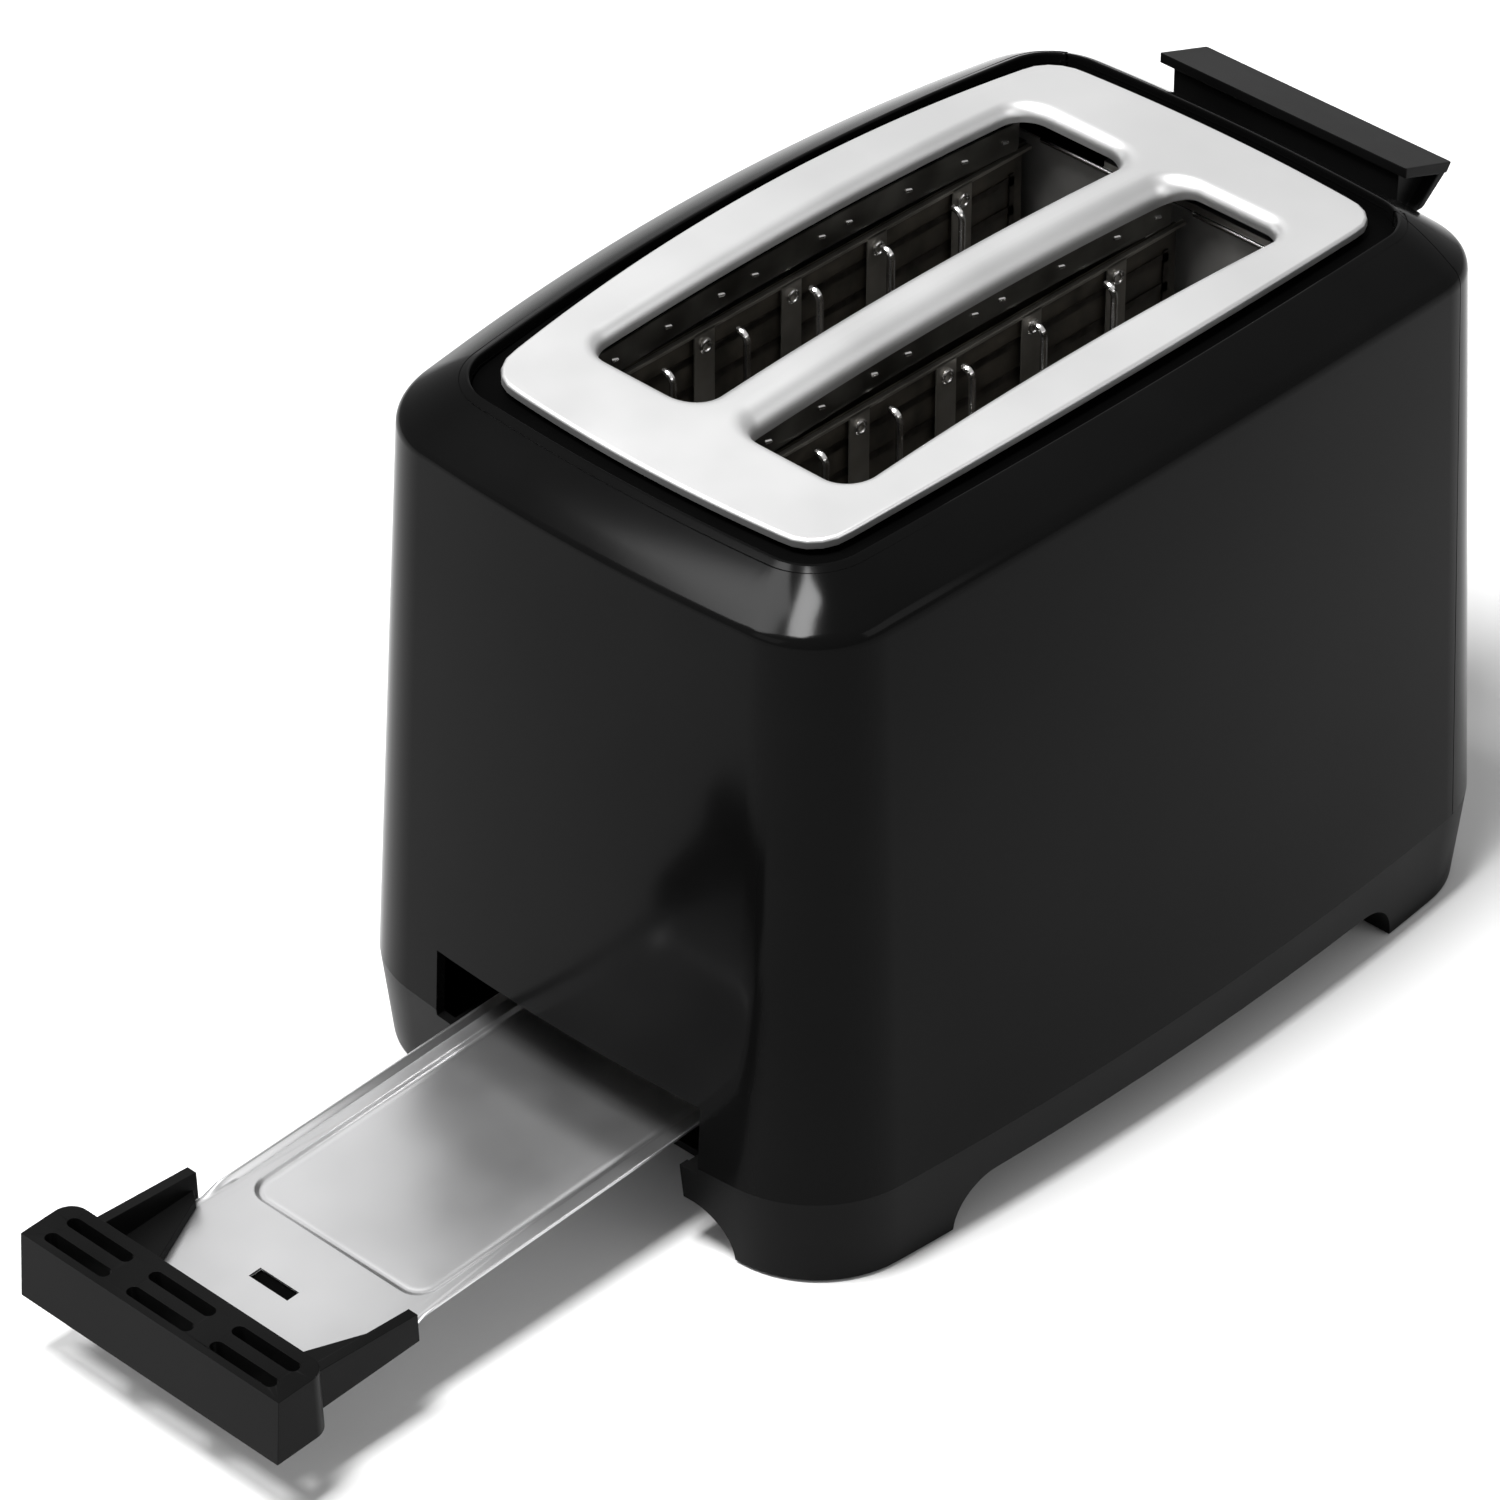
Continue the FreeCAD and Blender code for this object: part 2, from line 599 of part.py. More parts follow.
def tray_rails():
    """Two runners under the tray's edges, on feet that stand on the base plate."""
    start, end = TRAY_PULL + HANDLE_DEPTH + 1.5, TRAY_PULL + TRAY_LENGTH
    low, shelf_top, wall_top = -4.6, -3.4, 3.0
    foot_half, foot_near, foot_far = 4.0, 38.0, 41.5
    slope = math.tan(math.radians(TRAY_TILT))
    rails = []
    for side in (-1, 1):
        shelf = box((start, end), sided(side, RAIL_SHELF, RAIL_OUTER), (low, shelf_top))
        wall = box((start, end), sided(side, RAIL_OUTER - RAIL_WALL, RAIL_OUTER), (low, wall_top))
        runner = tray_place(fuse([shelf, wall]))
        for x in (-68.0, 68.0):
            foot_top = 27.0 + (x + ROD_X) * slope
            runner = runner.fuse(box((x - foot_half, x + foot_half), sided(side, foot_near, foot_far),
                                     (FLOOR_Z + FLOOR_THICK, foot_top)))
        rails.append(runner.removeSplitter())
    return Part.makeCompound(rails)


# ---- toasting chassis ---------------------------------------------------------------------
def end_plate(side):
    """Upright steel end of the toasting chamber, with legs on the base plate."""
    x = sided(side, END_PLATE_X, END_PLATE_X + SHEET)
    half = CHASSIS_HALF_WIDTH
    floor = FLOOR_Z + FLOOR_THICK
    pieces = [box(x, (-half, half), (CHASSIS_LOW, CHASSIS_TOP))]
    for edge in (-1, 1):
        pieces.append(box(x, sided(edge, half - LEG_WIDTH, half), (floor, CHASSIS_LOW + OVERSHOOT)))
        pieces.append(box(sided(side, END_PLATE_X, FLANGE_REACH), sided(edge, SCREW_Y - 4, half),
                          (floor, floor + SHEET)))
    holes = [rod((px, py, 0), (px, py, SEAM_Z), SCREW_RADIUS + 0.1) for px, py in screw_places()]
    slits = [box((-BLOCK_REACH, BLOCK_REACH), sided(edge, SLOT_Y - 2.2, SLOT_Y + 2.2),
                 (RACK_Z - TRAVEL - 2, RACK_Z + 22)) for edge in (-1, 1)]
    return fuse(pieces).cut(holes + slits)


def reflector(side):
    """Polished side sheet of the chamber with a folded top edge."""
    low, high = CHASSIS_LOW + 4, CHASSIS_TOP - 2
    reach = (-END_PLATE_X, END_PLATE_X)
    sheet = box(reach, (REFLECTOR_Y, REFLECTOR_Y + SHEET), (low, high))
    flange = box(reach, (REFLECTOR_Y - REFLECTOR_LIP, REFLECTOR_Y + FIT_GAP), (high - SHEET, high))
    whole = fuse([sheet, flange])
    return whole if side > 0 else mirror_y(whole)


def heater_places():
    """(name, y of the board's slot-side face, direction from the board into its slot)."""
    return [("left_outer", HEATER_OUTER_Y, -1), ("left_inner", HEATER_INNER_Y, 1),
            ("right_inner", -HEATER_INNER_Y, -1), ("right_outer", -HEATER_OUTER_Y, 1)]


def layer(face, direction, near, far):
    """Low and high y between two distances in front of a board's face."""
    return tuple(sorted((face + direction * near, face + direction * far)))


def heater_board(face, direction):
    return box((-HEATER_HALF_LENGTH, HEATER_HALF_LENGTH), layer(face, direction, -HEATER_THICK, 0.0),
               (HEATER_LOW, HEATER_HIGH))


def board_frame(face, direction):
    """Top channel, lower rail and upright straps that hold a heater board."""
    reach = (-FRAME_HALF_LENGTH, FRAME_HALF_LENGTH)
    deep = layer(face, direction, 0.0, FRAME_DEPTH)
    straps = [box((x - STRAP_HALF_WIDTH, x + STRAP_HALF_WIDTH),
                  layer(face, direction, FRAME_DEPTH - 0.5, FRAME_DEPTH), (HEATER_LOW, CHANNEL_LOW))
              for x in STRAP_X]
    channel = box(reach, deep, (CHANNEL_LOW, CHANNEL_HIGH))
    rail = box(reach, deep, (RAIL_LOW, HEATER_LOW))
    return fuse([channel, rail] + straps)


def heater_wires(face, direction):
    y = face + direction * WIRE_OFFSET
    reach = HEATER_HALF_LENGTH - 2.0
    heights = range(int(HEATER_LOW) + WIRE_PITCH, int(HEATER_HIGH) - 6, WIRE_PITCH)
    return Part.makeCompound([rod((-reach, y, z), (reach, y, z), WIRE_RADIUS) for z in heights])


def board_rivets(face, direction):
    z = 0.5 * (CHANNEL_LOW + CHANNEL_HIGH)
    start = face + direction * FRAME_DEPTH
    end = start + direction * RIVET_HEIGHT
    return [rod((x, start, z), (x, end, z), RIVET_RADIUS) for x in RIVET_X]


def guide_places():
    """(name, y of the grid, direction in which its top swings)."""
    return [("left_outer", SLOT_Y + GUIDE_OFFSET, -1), ("left_inner", SLOT_Y - GUIDE_OFFSET, 1),
            ("right_inner", -SLOT_Y + GUIDE_OFFSET, -1), ("right_outer", -SLOT_Y - GUIDE_OFFSET, 1)]


def bread_guide(y, direction):
    """Grid of upright wires on a pivot rod, each with its top bent back towards the board."""
    reach = GUIDE_HALF_LENGTH
    tip = y - direction * GUIDE_TIP
    wires = [rod((-reach, y, GUIDE_LOW), (reach, y, GUIDE_LOW), GUIDE_RADIUS + FIT_GAP)]
    for index in range(-2, 3):
        x = index * GUIDE_PITCH
        wires.append(rod((x, y, GUIDE_LOW), (x, y, GUIDE_HIGH), GUIDE_RADIUS))
        wires.append(Part.makeSphere(GUIDE_RADIUS, V(x, y, GUIDE_HIGH)))
        wires.append(rod((x, y, GUIDE_HIGH), (x, tip, GUIDE_HIGH + 2.0), GUIDE_RADIUS))
    return fuse(wires)


# ---- carriage -----------------------------------------------------------------------------
def carriage_bracket():
    """Plate behind the chamber that joins both bread racks, the rod bush and the lever arm."""
    plate = box((BRACKET_X, BRACKET_X + BRACKET_THICK), (-BRACKET_HALF_WIDTH, BRACKET_HALF_WIDTH),
                (RACK_Z - OVERSHOOT, BRACKET_TOP))
    shelf_low = BRACKET_TOP - BRACKET_THICK
    shelf = box((BRACKET_X + BRACKET_THICK, SHELF_OUTER_X), (-8, 8), (shelf_low, BRACKET_TOP))
    bush = rod((ROD_X, 0, BUSH_LOW), (ROD_X, 0, BRACKET_TOP), 2 * ROD_RADIUS)
    arm_y = (-ARM_HALF_WIDTH, ARM_HALF_WIDTH)
    riser = box((ARM_INNER_X, SHELF_OUTER_X), arm_y, (shelf_low, ARM_HIGH))
    arm = box((ARM_INNER_X, PANEL_FACE_X + 1.6), arm_y, (ARM_LOW, ARM_HIGH))
    bore = rod((ROD_X, 0, RACK_Z), (ROD_X, 0, ARM_HIGH), ROD_RADIUS + ROD_CLEARANCE)
    return fuse([plate, shelf, bush, riser, arm]).cut(bore)


def bread_rack(y):
    """Support under one slice: an upright strip with cross teeth."""
    top = RACK_Z + RACK_HEIGHT
    half = RACK_HALF_THICK
    strip = box((-GUIDE_HALF_LENGTH, BRACKET_X), (y - half, y + half), (RACK_Z, top))
    tooth = (y - RACK_TOOTH_HALF_LENGTH, y + RACK_TOOTH_HALF_LENGTH)
    teeth = [box((x - half, x + half), tooth, (top - 2.0, top))
             for x in range(-3 * RACK_PITCH, 3 * RACK_PITCH + 1, RACK_PITCH)]
    return fuse([strip] + teeth)


def armature():
    """Steel tongue on the carriage that the magnet holds when the carriage is down."""
    return box((BRACKET_X + BRACKET_THICK, MAGNET_X[1] + 0.5), (MAGNET_LOW_Y, MAGNET_HIGH_Y),
               ARMATURE_Z)


def lever_slab(points, reach):
    """Block with the given (x, z) outline, reaching the same distance either way along Y."""
    return polygon_face([V(x, -reach, z) for x, z in points]).extrude(V(0, 2 * reach, 0))


def lever_knob():
    """Broad finger lever: sloping top, raked outer wall, upright web and a tongue to the arm."""
    half, skin = KNOB_HALF_LENGTH, KNOB_SKIN
    inner_half = half - KNOB_INSET
    (top_x, top_z), (tip_x, tip_z), (toe_x, toe_z) = KNOB_TOP, KNOB_TIP, KNOB_TOE
    web_y = (-inner_half, inner_half)
    top = lever_slab([KNOB_TOP, KNOB_TIP, (tip_x - 1.6, tip_z - skin), (top_x, top_z - skin - 0.3)], half)
    outer = lever_slab([KNOB_TIP, (tip_x - 1.5 * skin, tip_z), (toe_x - skin, toe_z), KNOB_TOE], half)
    web = box((KNOB_WEB_X, KNOB_WEB_X + skin), web_y, (toe_z, KNOB_WEB_TOP))
    sole = box((KNOB_WEB_X, toe_x), web_y, (toe_z, toe_z + 2.2))
    ends = []
    for side in (-1, 1):
        end = lever_slab([(KNOB_WEB_X, KNOB_WEB_TOP), (tip_x - 1.4, tip_z - 1.0), KNOB_TOE,
                          (KNOB_WEB_X, toe_z)], 1.0)
        end.translate(V(0, side * (inner_half - 1.0), 0))
        ends.append(end)
    tongue = box((PANEL_FACE_X + 1.6, KNOB_WEB_X + skin), (-6, 6), (ARM_LOW - 3, toe_z + 1.2))
    return fuse([top, outer, web, sole, tongue] + ends)


def guide_rod():
    return rod((ROD_X, 0, SHELF_LOW + SHELF_THICK), (ROD_X, 0, CHASSIS_TOP), ROD_RADIUS)


def rod_bracket(low):
    """Small shelf on the chassis end plate that holds one end of the guide rod."""
    return box((END_PLATE_X + SHEET, SHELF_OUTER_X), (-30, 22), (low, low + SHELF_THICK))


def lift_spring():
    """Compression spring round the guide rod, between the lower shelf and the carriage bush."""
    low = SHELF_LOW + SHELF_THICK + FIT_GAP + SPRING_WIRE
    high = BUSH_LOW - FIT_GAP - SPRING_WIRE
    helix = Part.makeHelix((high - low) / SPRING_TURNS, high - low, SPRING_RADIUS)
    section = Part.Wire(Part.makeCircle(SPRING_WIRE, V(SPRING_RADIUS, 0, 0), V(0, 1, 0)))
    coil = Part.Wire(helix.Edges).makePipeShell([section], True, True)
    coil.translate(V(ROD_X, 0, low))
    return coil


def magnet_core():
    """Steel yoke: two legs on a foot."""
    low, high = MAGNET_LOW_Y, MAGNET_HIGH_Y
    legs = [box(MAGNET_X, (y, y + MAGNET_LEG), (MAGNET_BASE_Z, MAGNET_TOP_Z))
            for y in (low, high - MAGNET_LEG)]
    return fuse(legs + [box(MAGNET_X, (low, high), (MAGNET_BASE_Z, MAGNET_BASE_Z + MAGNET_LEG))])


def magnet_coil():
    """Winding round the yoke's inner leg."""
    leg_y = MAGNET_HIGH_Y - 0.5 * MAGNET_LEG
    hole_half = 0.5 * MAGNET_LEG + 0.1
    coil = rounded_prism(6.4, 5.4, 3.0, MAGNET_BASE_Z + MAGNET_LEG + 0.4, MAGNET_TOP_Z - 2.5)
    coil.translate(V(0.5 * sum(MAGNET_X), leg_y, 0))
    return coil.cut(box((MAGNET_X[0] - 0.1, MAGNET_X[1] + 0.1), (leg_y - hole_half, leg_y + hole_half),
                        (MAGNET_BASE_Z, MAGNET_TOP_Z)))


# ---- controls -----------------------------------------------------------------------------
def cross_rod(start, end, place, radius):
    """Round bar along X at a (y, z) place."""
    return rod((start, *place), (end, *place), radius)


def post_places():
    return [(y, z) for y in (-POST_Y, POST_Y) for z in (POST_LOW, POST_HIGH)]


def control_panel():
    """Flat panel in the end cover's recess, with its holes and four posts for the board."""
    back = PANEL_FACE_X - PANEL_THICK
    behind, front = back - 10.0, PANEL_FACE_X + 10.0
    half = PANEL_HALF_WIDTH - FIT_GAP
    plate = box((back, PANEL_FACE_X), (-half, half), (PANEL_LOW + FIT_GAP, PANEL_HIGH - FIT_GAP))
    posts = [cross_rod(BOARD_X + BOARD_THICK, back + 0.5, place, POST_RADIUS)
             for place in post_places()]
    arm_half = ARM_HALF_WIDTH + 2 * BUTTON_GAP
    cuts = [box((behind, front), (-arm_half, arm_half),
                (ARM_LOW - TRAVEL - OVERSHOOT, ARM_HIGH + OVERSHOOT)),
            cross_rod(behind, front, (0.0, DIAL_Z), DIAL_HOLE),
            cross_rod(behind, front, LENS_PLACE, LENS_RADIUS + FIT_GAP)]
    half_y, half_z = BUTTON_HALF_WIDTH + BUTTON_GAP, BUTTON_HALF_HEIGHT + BUTTON_GAP
    for _, y, z in BUTTONS:
        cuts.append(box((behind, front), (y - half_y, y + half_y), (z - half_z, z + half_z)))
    return fuse([plate] + posts).cut(cuts)


def button(y, z):
    """Key cap with rounded edges on a stem that reaches its switch."""
    proud, depth, edge = 2.6, 4.0, 1.0
    cap = box((PANEL_FACE_X - depth, PANEL_FACE_X + proud),
              (y - BUTTON_HALF_WIDTH, y + BUTTON_HALF_WIDTH),
              (z - BUTTON_HALF_HEIGHT, z + BUTTON_HALF_HEIGHT))
    rounded = [e for e in cap.Edges
               if e.BoundBox.XMin > PANEL_FACE_X or e.BoundBox.XLength > depth]
    cap = cap.makeFillet(edge, rounded)
    stem_end = BOARD_X + BOARD_THICK + SWITCH_HEIGHT + 0.3 + BUTTON_STROKE
    stem = cross_rod(stem_end, PANEL_FACE_X - depth + 0.5, (y, z), 2.0)
    return fuse([cap, stem])


def browning_knob():
    """Round knob with a fluted grip and its shaft."""
    face, middle = PANEL_FACE_X, (0.0, DIAL_Z)
    disc_low, disc_top, grip_low, grip_top = face + 0.6, face + 5.0, face + 4.5, face + 13.0
    disc = cross_rod(disc_low, disc_top, middle, DIAL_RADIUS)
    disc = disc.makeFillet(1.0, [e for e in disc.Edges if e.BoundBox.XMin > disc_top - 0.5])
    grip = cross_rod(grip_low, grip_top, middle, DIAL_GRIP_RADIUS)
    grip = grip.makeFillet(1.5, [e for e in grip.Edges if e.BoundBox.XMin > grip_top - 0.5])
    groove_reach = DIAL_GRIP_RADIUS + 1.1
    grooves = []
    for index in range(DIAL_GROOVES):
        angle = 2 * math.pi * (index + 0.5) / DIAL_GROOVES
        place = (groove_reach * math.cos(angle), DIAL_Z + groove_reach * math.sin(angle))
        grooves.append(cross_rod(disc_top + 1.5, grip_top + 2.0, place, 1.7))
    shaft = cross_rod(BOARD_X + 3.0, face + 1.0, middle, DIAL_SHAFT)
    return fuse([disc, grip, shaft]).cut(grooves)


def control_board():
    return box((BOARD_X, BOARD_X + BOARD_THICK), (-BOARD_HALF_WIDTH, BOARD_HALF_WIDTH),
               (BOARD_LOW, BOARD_HIGH))


def board_parts():
    """Timer potentiometer, one switch behind each button, the relay and a capacitor."""
    front = BOARD_X + BOARD_THICK
    tall = front + 7.0
    middle = (0.0, DIAL_Z)
    pot = cross_rod(front, front + 6.0, middle, 8.0)
    pot = pot.cut(cross_rod(front + 1.0, tall, middle, DIAL_SHAFT + ROD_CLEARANCE))
    half = SWITCH_HALF
    switches = [box((front, front + SWITCH_HEIGHT), (y - half, y + half), (z - half, z + half))
                for _, y, z in BUTTONS]
    relay = box((front, tall), (-20, -11), (38, 46))
    capacitor = cross_rod(front, tall, (15.0, 43.0), 4.0)
    return Part.makeCompound([pot, relay, capacitor] + switches)


def indicator_lens():
    return cross_rod(PANEL_FACE_X - 6.0, PANEL_FACE_X + 0.8, LENS_PLACE, LENS_RADIUS)


def board_screws():
    return Part.makeCompound([cross_rod(BOARD_X - 1.8, BOARD_X, place, POST_RADIUS - FIT_GAP)
                              for place in post_places()])


# ---- writing ------------------------------------------------------------------------------
def origin_shift(shapes):
    """Move that brings the middle of the whole box over the origin."""
    whole = Part.makeCompound(shapes).optimalBoundingBox(False)
    return V(-0.5 * (whole.XMin + whole.XMax), 0.0, 0.0)


def write(node, shape, shift):
    placed = shape.copy()
    placed.translate(shift)
    placed.exportStep("parts/" + node + ".step")


def main():
    os.makedirs("parts", exist_ok=True)
    walls = housing()
    parts = {
        "outer_shell": outer_shell(walls), "end_cover": end_cover(walls),
        "top_plate": top_plate(), "top_trim": top_trim(),
        "base": base(), "foot_pads": foot_pads(), "base_screws": base_screws(),
        "cord_gland": cord_gland(), "terminal_block": terminal_block(),
        "crumb_tray_sheet": tray_place(tray_sheet_local()),
        "tray_handle": tray_place(tray_handle_local()),
        "tray_rails": tray_rails(),
        "end_plate_lever": end_plate(1), "end_plate_tray": end_plate(-1),
        "reflector_left": reflector(1), "reflector_right": reflector(-1),
        "carriage_bracket": carriage_bracket(),
        "bread_rack_left": bread_rack(SLOT_Y), "bread_rack_right": bread_rack(-SLOT_Y),
        "armature": armature(), "lever_knob": lever_knob(), "guide_rod": guide_rod(),
        "rod_bracket_low": rod_bracket(SHELF_LOW), "rod_bracket_high": rod_bracket(CHASSIS_TOP),
        "lift_spring": lift_spring(), "magnet_core": magnet_core(), "magnet_coil": magnet_coil(),
        "control_panel": control_panel(), "browning_knob": browning_knob(),
        "control_board": control_board(), "board_parts": board_parts(),
        "indicator_lens": indicator_lens(), "board_screws": board_screws(),
    }
    for name, y, z in BUTTONS:
        parts[name] = button(y, z)
    rivets = []
    for name, face, direction in heater_places():
        parts["heater_board_" + name] = heater_board(face, direction)
        parts["board_frame_" + name] = board_frame(face, direction)
        parts["heater_wires_" + name] = heater_wires(face, direction)
        rivets += board_rivets(face, direction)
    parts["frame_rivets"] = Part.makeCompound(rivets)
    for name, y, direction in guide_places():
        parts["bread_guide_" + name] = bread_guide(y, direction)
    shift = origin_shift(list(parts.values()))
    for node, shape in parts.items():
        write(node, shape, shift)
    print("moved along X by", round(shift.x, 4))


main()
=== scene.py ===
import bmesh
import bpy
import math
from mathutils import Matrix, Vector


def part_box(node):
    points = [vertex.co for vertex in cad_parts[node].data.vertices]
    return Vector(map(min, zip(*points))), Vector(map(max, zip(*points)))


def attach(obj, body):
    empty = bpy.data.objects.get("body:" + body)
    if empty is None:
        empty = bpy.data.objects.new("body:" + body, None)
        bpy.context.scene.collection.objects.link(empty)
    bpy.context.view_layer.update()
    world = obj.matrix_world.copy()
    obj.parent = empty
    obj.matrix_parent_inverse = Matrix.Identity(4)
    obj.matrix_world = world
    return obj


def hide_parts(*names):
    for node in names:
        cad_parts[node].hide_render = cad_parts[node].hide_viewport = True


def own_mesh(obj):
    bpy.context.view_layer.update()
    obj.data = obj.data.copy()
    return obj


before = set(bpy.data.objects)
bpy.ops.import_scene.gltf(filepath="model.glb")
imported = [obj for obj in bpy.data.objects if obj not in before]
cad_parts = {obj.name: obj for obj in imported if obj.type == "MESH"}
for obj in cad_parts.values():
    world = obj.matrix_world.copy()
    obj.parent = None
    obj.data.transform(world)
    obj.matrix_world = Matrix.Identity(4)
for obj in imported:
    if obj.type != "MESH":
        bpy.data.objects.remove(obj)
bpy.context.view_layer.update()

# Two-slot pop-up toaster. The script's own lengths are millimetres about the middle of the
# housing, floor at z = 0, and place() turns them into metres in the row's frame.
MM = 0.001
PLATE_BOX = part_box("top_plate")
SHELL_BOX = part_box("outer_shell")
COVER_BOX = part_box("end_cover")
MIDDLE_X = 0.5 * (PLATE_BOX[0].x + PLATE_BOX[1].x)


def place(x, y, z):
    return Vector((x * MM + MIDDLE_X, y * MM, z * MM))


def local(node):
    """A CAD node's box in the script's own lengths."""
    low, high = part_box(node)
    shift = Vector((MIDDLE_X, 0.0, 0.0))
    return (low - shift) / MM, (high - shift) / MM


# ---- driving dimensions -------------------------------------------------------------------
SEAM_Z = SHELL_BOX[0].z / MM
SEAM_RING = ((COVER_BOX[1].x - MIDDLE_X) / MM, SHELL_BOX[1].y / MM, 29.0)
SHOULDER_RING = (SEAM_RING[0] - 7.2, SEAM_RING[1] - 7.5, 23.0)
MOUTH_RING = (SEAM_RING[0] - 22.0, SEAM_RING[1] - 22.8, 13.2)
CROWN_Z = SHELL_BOX[1].z / MM
CROWN_SAG = 0.0003           # fall of the mouth's edge, times x squared
SHOULDER_Z = CROWN_Z - 7.9
SHOULDER_SAG = 0.000425
END_BOW = 575.0
SIDE_BOW = 1000.0
WALL = 2.5
LIP_DEPTH = 8.0
PARTING_X = 98.1
PARTING_HALF_GAP = 0.15
TRAY_GATE_HALF_WIDTH = 41.9
TRAY_GATE_TOP = 41.4
PANEL_LOW, PANEL_HIGH = local("control_panel")

PLATE_Z = PLATE_BOX[1].z / MM
PLATE_SAG = 0.0005
PLATE_RING = (96.0, 55.6, 10.5)
PLATE_BOWS = (444.0, 800.0)
PLATE_EDGE_ROUND = 0.9
PLATE_EDGE_DEPTH = 2.3
PLATE_SHEET = 1.0
SLOT_Y = 23.6
SLOT_HALF = (72.4, 16.8)
SLOT_CORNER = 7.0
LIP_ROUND = 3.4
RIDGE_ROUND = 5.6            # roll of the lips along the bridge between the slots
LIP_LOW = 4.6

BEVEL_BULGE = 0.30           # rise of the shoulder's bevel above a flat one
BEVEL_TURN = 1.3             # rounding of the shoulder's edge at the ends
BEVEL_TURN_SIDE = 2.2        # extra rounding along the broad sides
BRIM_ROUND = 1.1
SKIN_BEVEL = (0.45, 3, 50.0)
TRAY_END_X = -105.0          # faces beyond it belong to the tray end's wall
LEVER_END_X = 108.0
RECESS_GAP = 0.2
RECESS_DEPTH = 3.5
COVER_WALL = 0.8 * WALL
SMOOTH_ANGLE = math.radians(34.0)
WELD_DISTANCE = 0.01 * MM
BOX_FACES = ((0, 1, 3, 2), (4, 6, 7, 5), (0, 4, 5, 1), (2, 3, 7, 6), (0, 2, 6, 4), (1, 5, 7, 3))


# ---- plan outlines ------------------------------------------------------------------------
def quadrant_arcs(ring, bows):
    """Corner centre and tangent points of a bowed outline's first quadrant."""
    half_length, half_width, corner = ring
    end_bow, side_bow = bows
    side_centre = Vector((0.0, half_width - side_bow))
    end_centre = Vector((half_length - end_bow, 0.0))
    across = end_centre - side_centre
    side_reach, end_reach = side_bow - corner, end_bow - corner
    along = (side_reach ** 2 - end_reach ** 2 + across.length_squared) / (2 * across.length)
    height = math.sqrt(side_reach ** 2 - along ** 2)
    unit = across.normalized()
    centre = side_centre + unit * along + Vector((unit.y, -unit.x)) * height
    on_side = side_centre + (centre - side_centre) * (side_bow / side_reach)
    on_end = end_centre + (centre - end_centre) * (end_bow / end_reach)
    return centre, on_end, on_side


def quadrant(ring, bows, flat_y, flat_x, steps):
    """Points from the middle of the +X end round to the middle of the +Y side.

    steps counts the spans along the end, round the corner and along the side. The end's
    points keep their y and the side's keep their x on every ring, so that rings line up."""
    half_length, half_width, corner = ring
    end_bow, side_bow = bows
    centre, on_end, on_side = quadrant_arcs(ring, bows)

    def end_point(y):
        return Vector((half_length - end_bow + math.sqrt(end_bow ** 2 - y * y), y))

    def side_point(x):
        return Vector((x, half_width - side_bow + math.sqrt(side_bow ** 2 - x * x)))

    start = math.atan2(on_end.y - centre.y, on_end.x - centre.x)
    stop = math.atan2(on_side.y - centre.y, on_side.x - centre.x)
    points = [end_point(flat_y * index / steps[0]) for index in range(steps[0] + 1)]
    points.append(end_point(0.5 * (flat_y + on_end.y)))
    for index in range(steps[1] + 1):
        angle = start + (stop - start) * index / steps[1]
        points.append(centre + corner * Vector((math.cos(angle), math.sin(angle))))
    points.append(side_point(0.5 * (flat_x + on_side.x)))
    points += [side_point(flat_x * (1.0 - index / steps[2])) for index in range(steps[2] + 1)]
    return points


def closed_outline(ring, bows=(END_BOW, SIDE_BOW), flat_y=44.0, flat_x=84.0, steps=(11, 26, 21)):
    """Whole outline, anticlockwise from the middle of the +X end."""
    first = quadrant(ring, bows, flat_y, flat_x, steps)
    second = [Vector((-p.x, p.y)) for p in reversed(first[:-1])]
    upper = first + second
    lower = [Vector((p.x, -p.y)) for p in reversed(upper[1:-1])]
    return upper + lower


# ---- mesh helpers -------------------------------------------------------------------------
def smooth_by_angle():
    """Geometry node group that shades smooth across every edge flatter than the limit."""
    group = bpy.data.node_groups.new("smooth_by_angle", "GeometryNodeTree")
    group.interface.new_socket("Geometry", in_out="INPUT", socket_type="NodeSocketGeometry")
    group.interface.new_socket("Geometry", in_out="OUTPUT", socket_type="NodeSocketGeometry")
    nodes, links = group.nodes, group.links
    start = nodes.new("NodeGroupInput")
    end = nodes.new("NodeGroupOutput")
    clear = nodes.new("GeometryNodeRemoveAttribute")
    clear.inputs["Name"].default_value = "custom_normal"
    faces = nodes.new("GeometryNodeSetShadeSmooth")
    faces.domain = "FACE"
    edges = nodes.new("GeometryNodeSetShadeSmooth")
    edges.domain = "EDGE"
    angle = nodes.new("GeometryNodeInputMeshEdgeAngle")
    flatter = nodes.new("FunctionNodeCompare")
    flatter.data_type = "FLOAT"
    flatter.operation = "LESS_THAN"
    flatter.inputs["B"].default_value = SMOOTH_ANGLE
    links.new(start.outputs[0], clear.inputs["Geometry"])
    links.new(clear.outputs["Geometry"], faces.inputs["Geometry"])
    links.new(faces.outputs["Geometry"], edges.inputs["Geometry"])
    links.new(angle.outputs["Unsigned Angle"], flatter.inputs["A"])
    links.new(flatter.outputs["Result"], edges.inputs["Shade Smooth"])
    links.new(edges.outputs["Geometry"], end.inputs[0])
    return group


SMOOTH = smooth_by_angle()


def add_smooth(thing):
    """Smooth shading that keeps flat faces flat."""
    modifier = thing.modifiers.new("smooth", "NODES")
    modifier.node_group = SMOOTH
    weighted = thing.modifiers.new("weighted", "WEIGHTED_NORMAL")
    weighted.keep_sharp = True
    weighted.mode = "FACE_AREA"


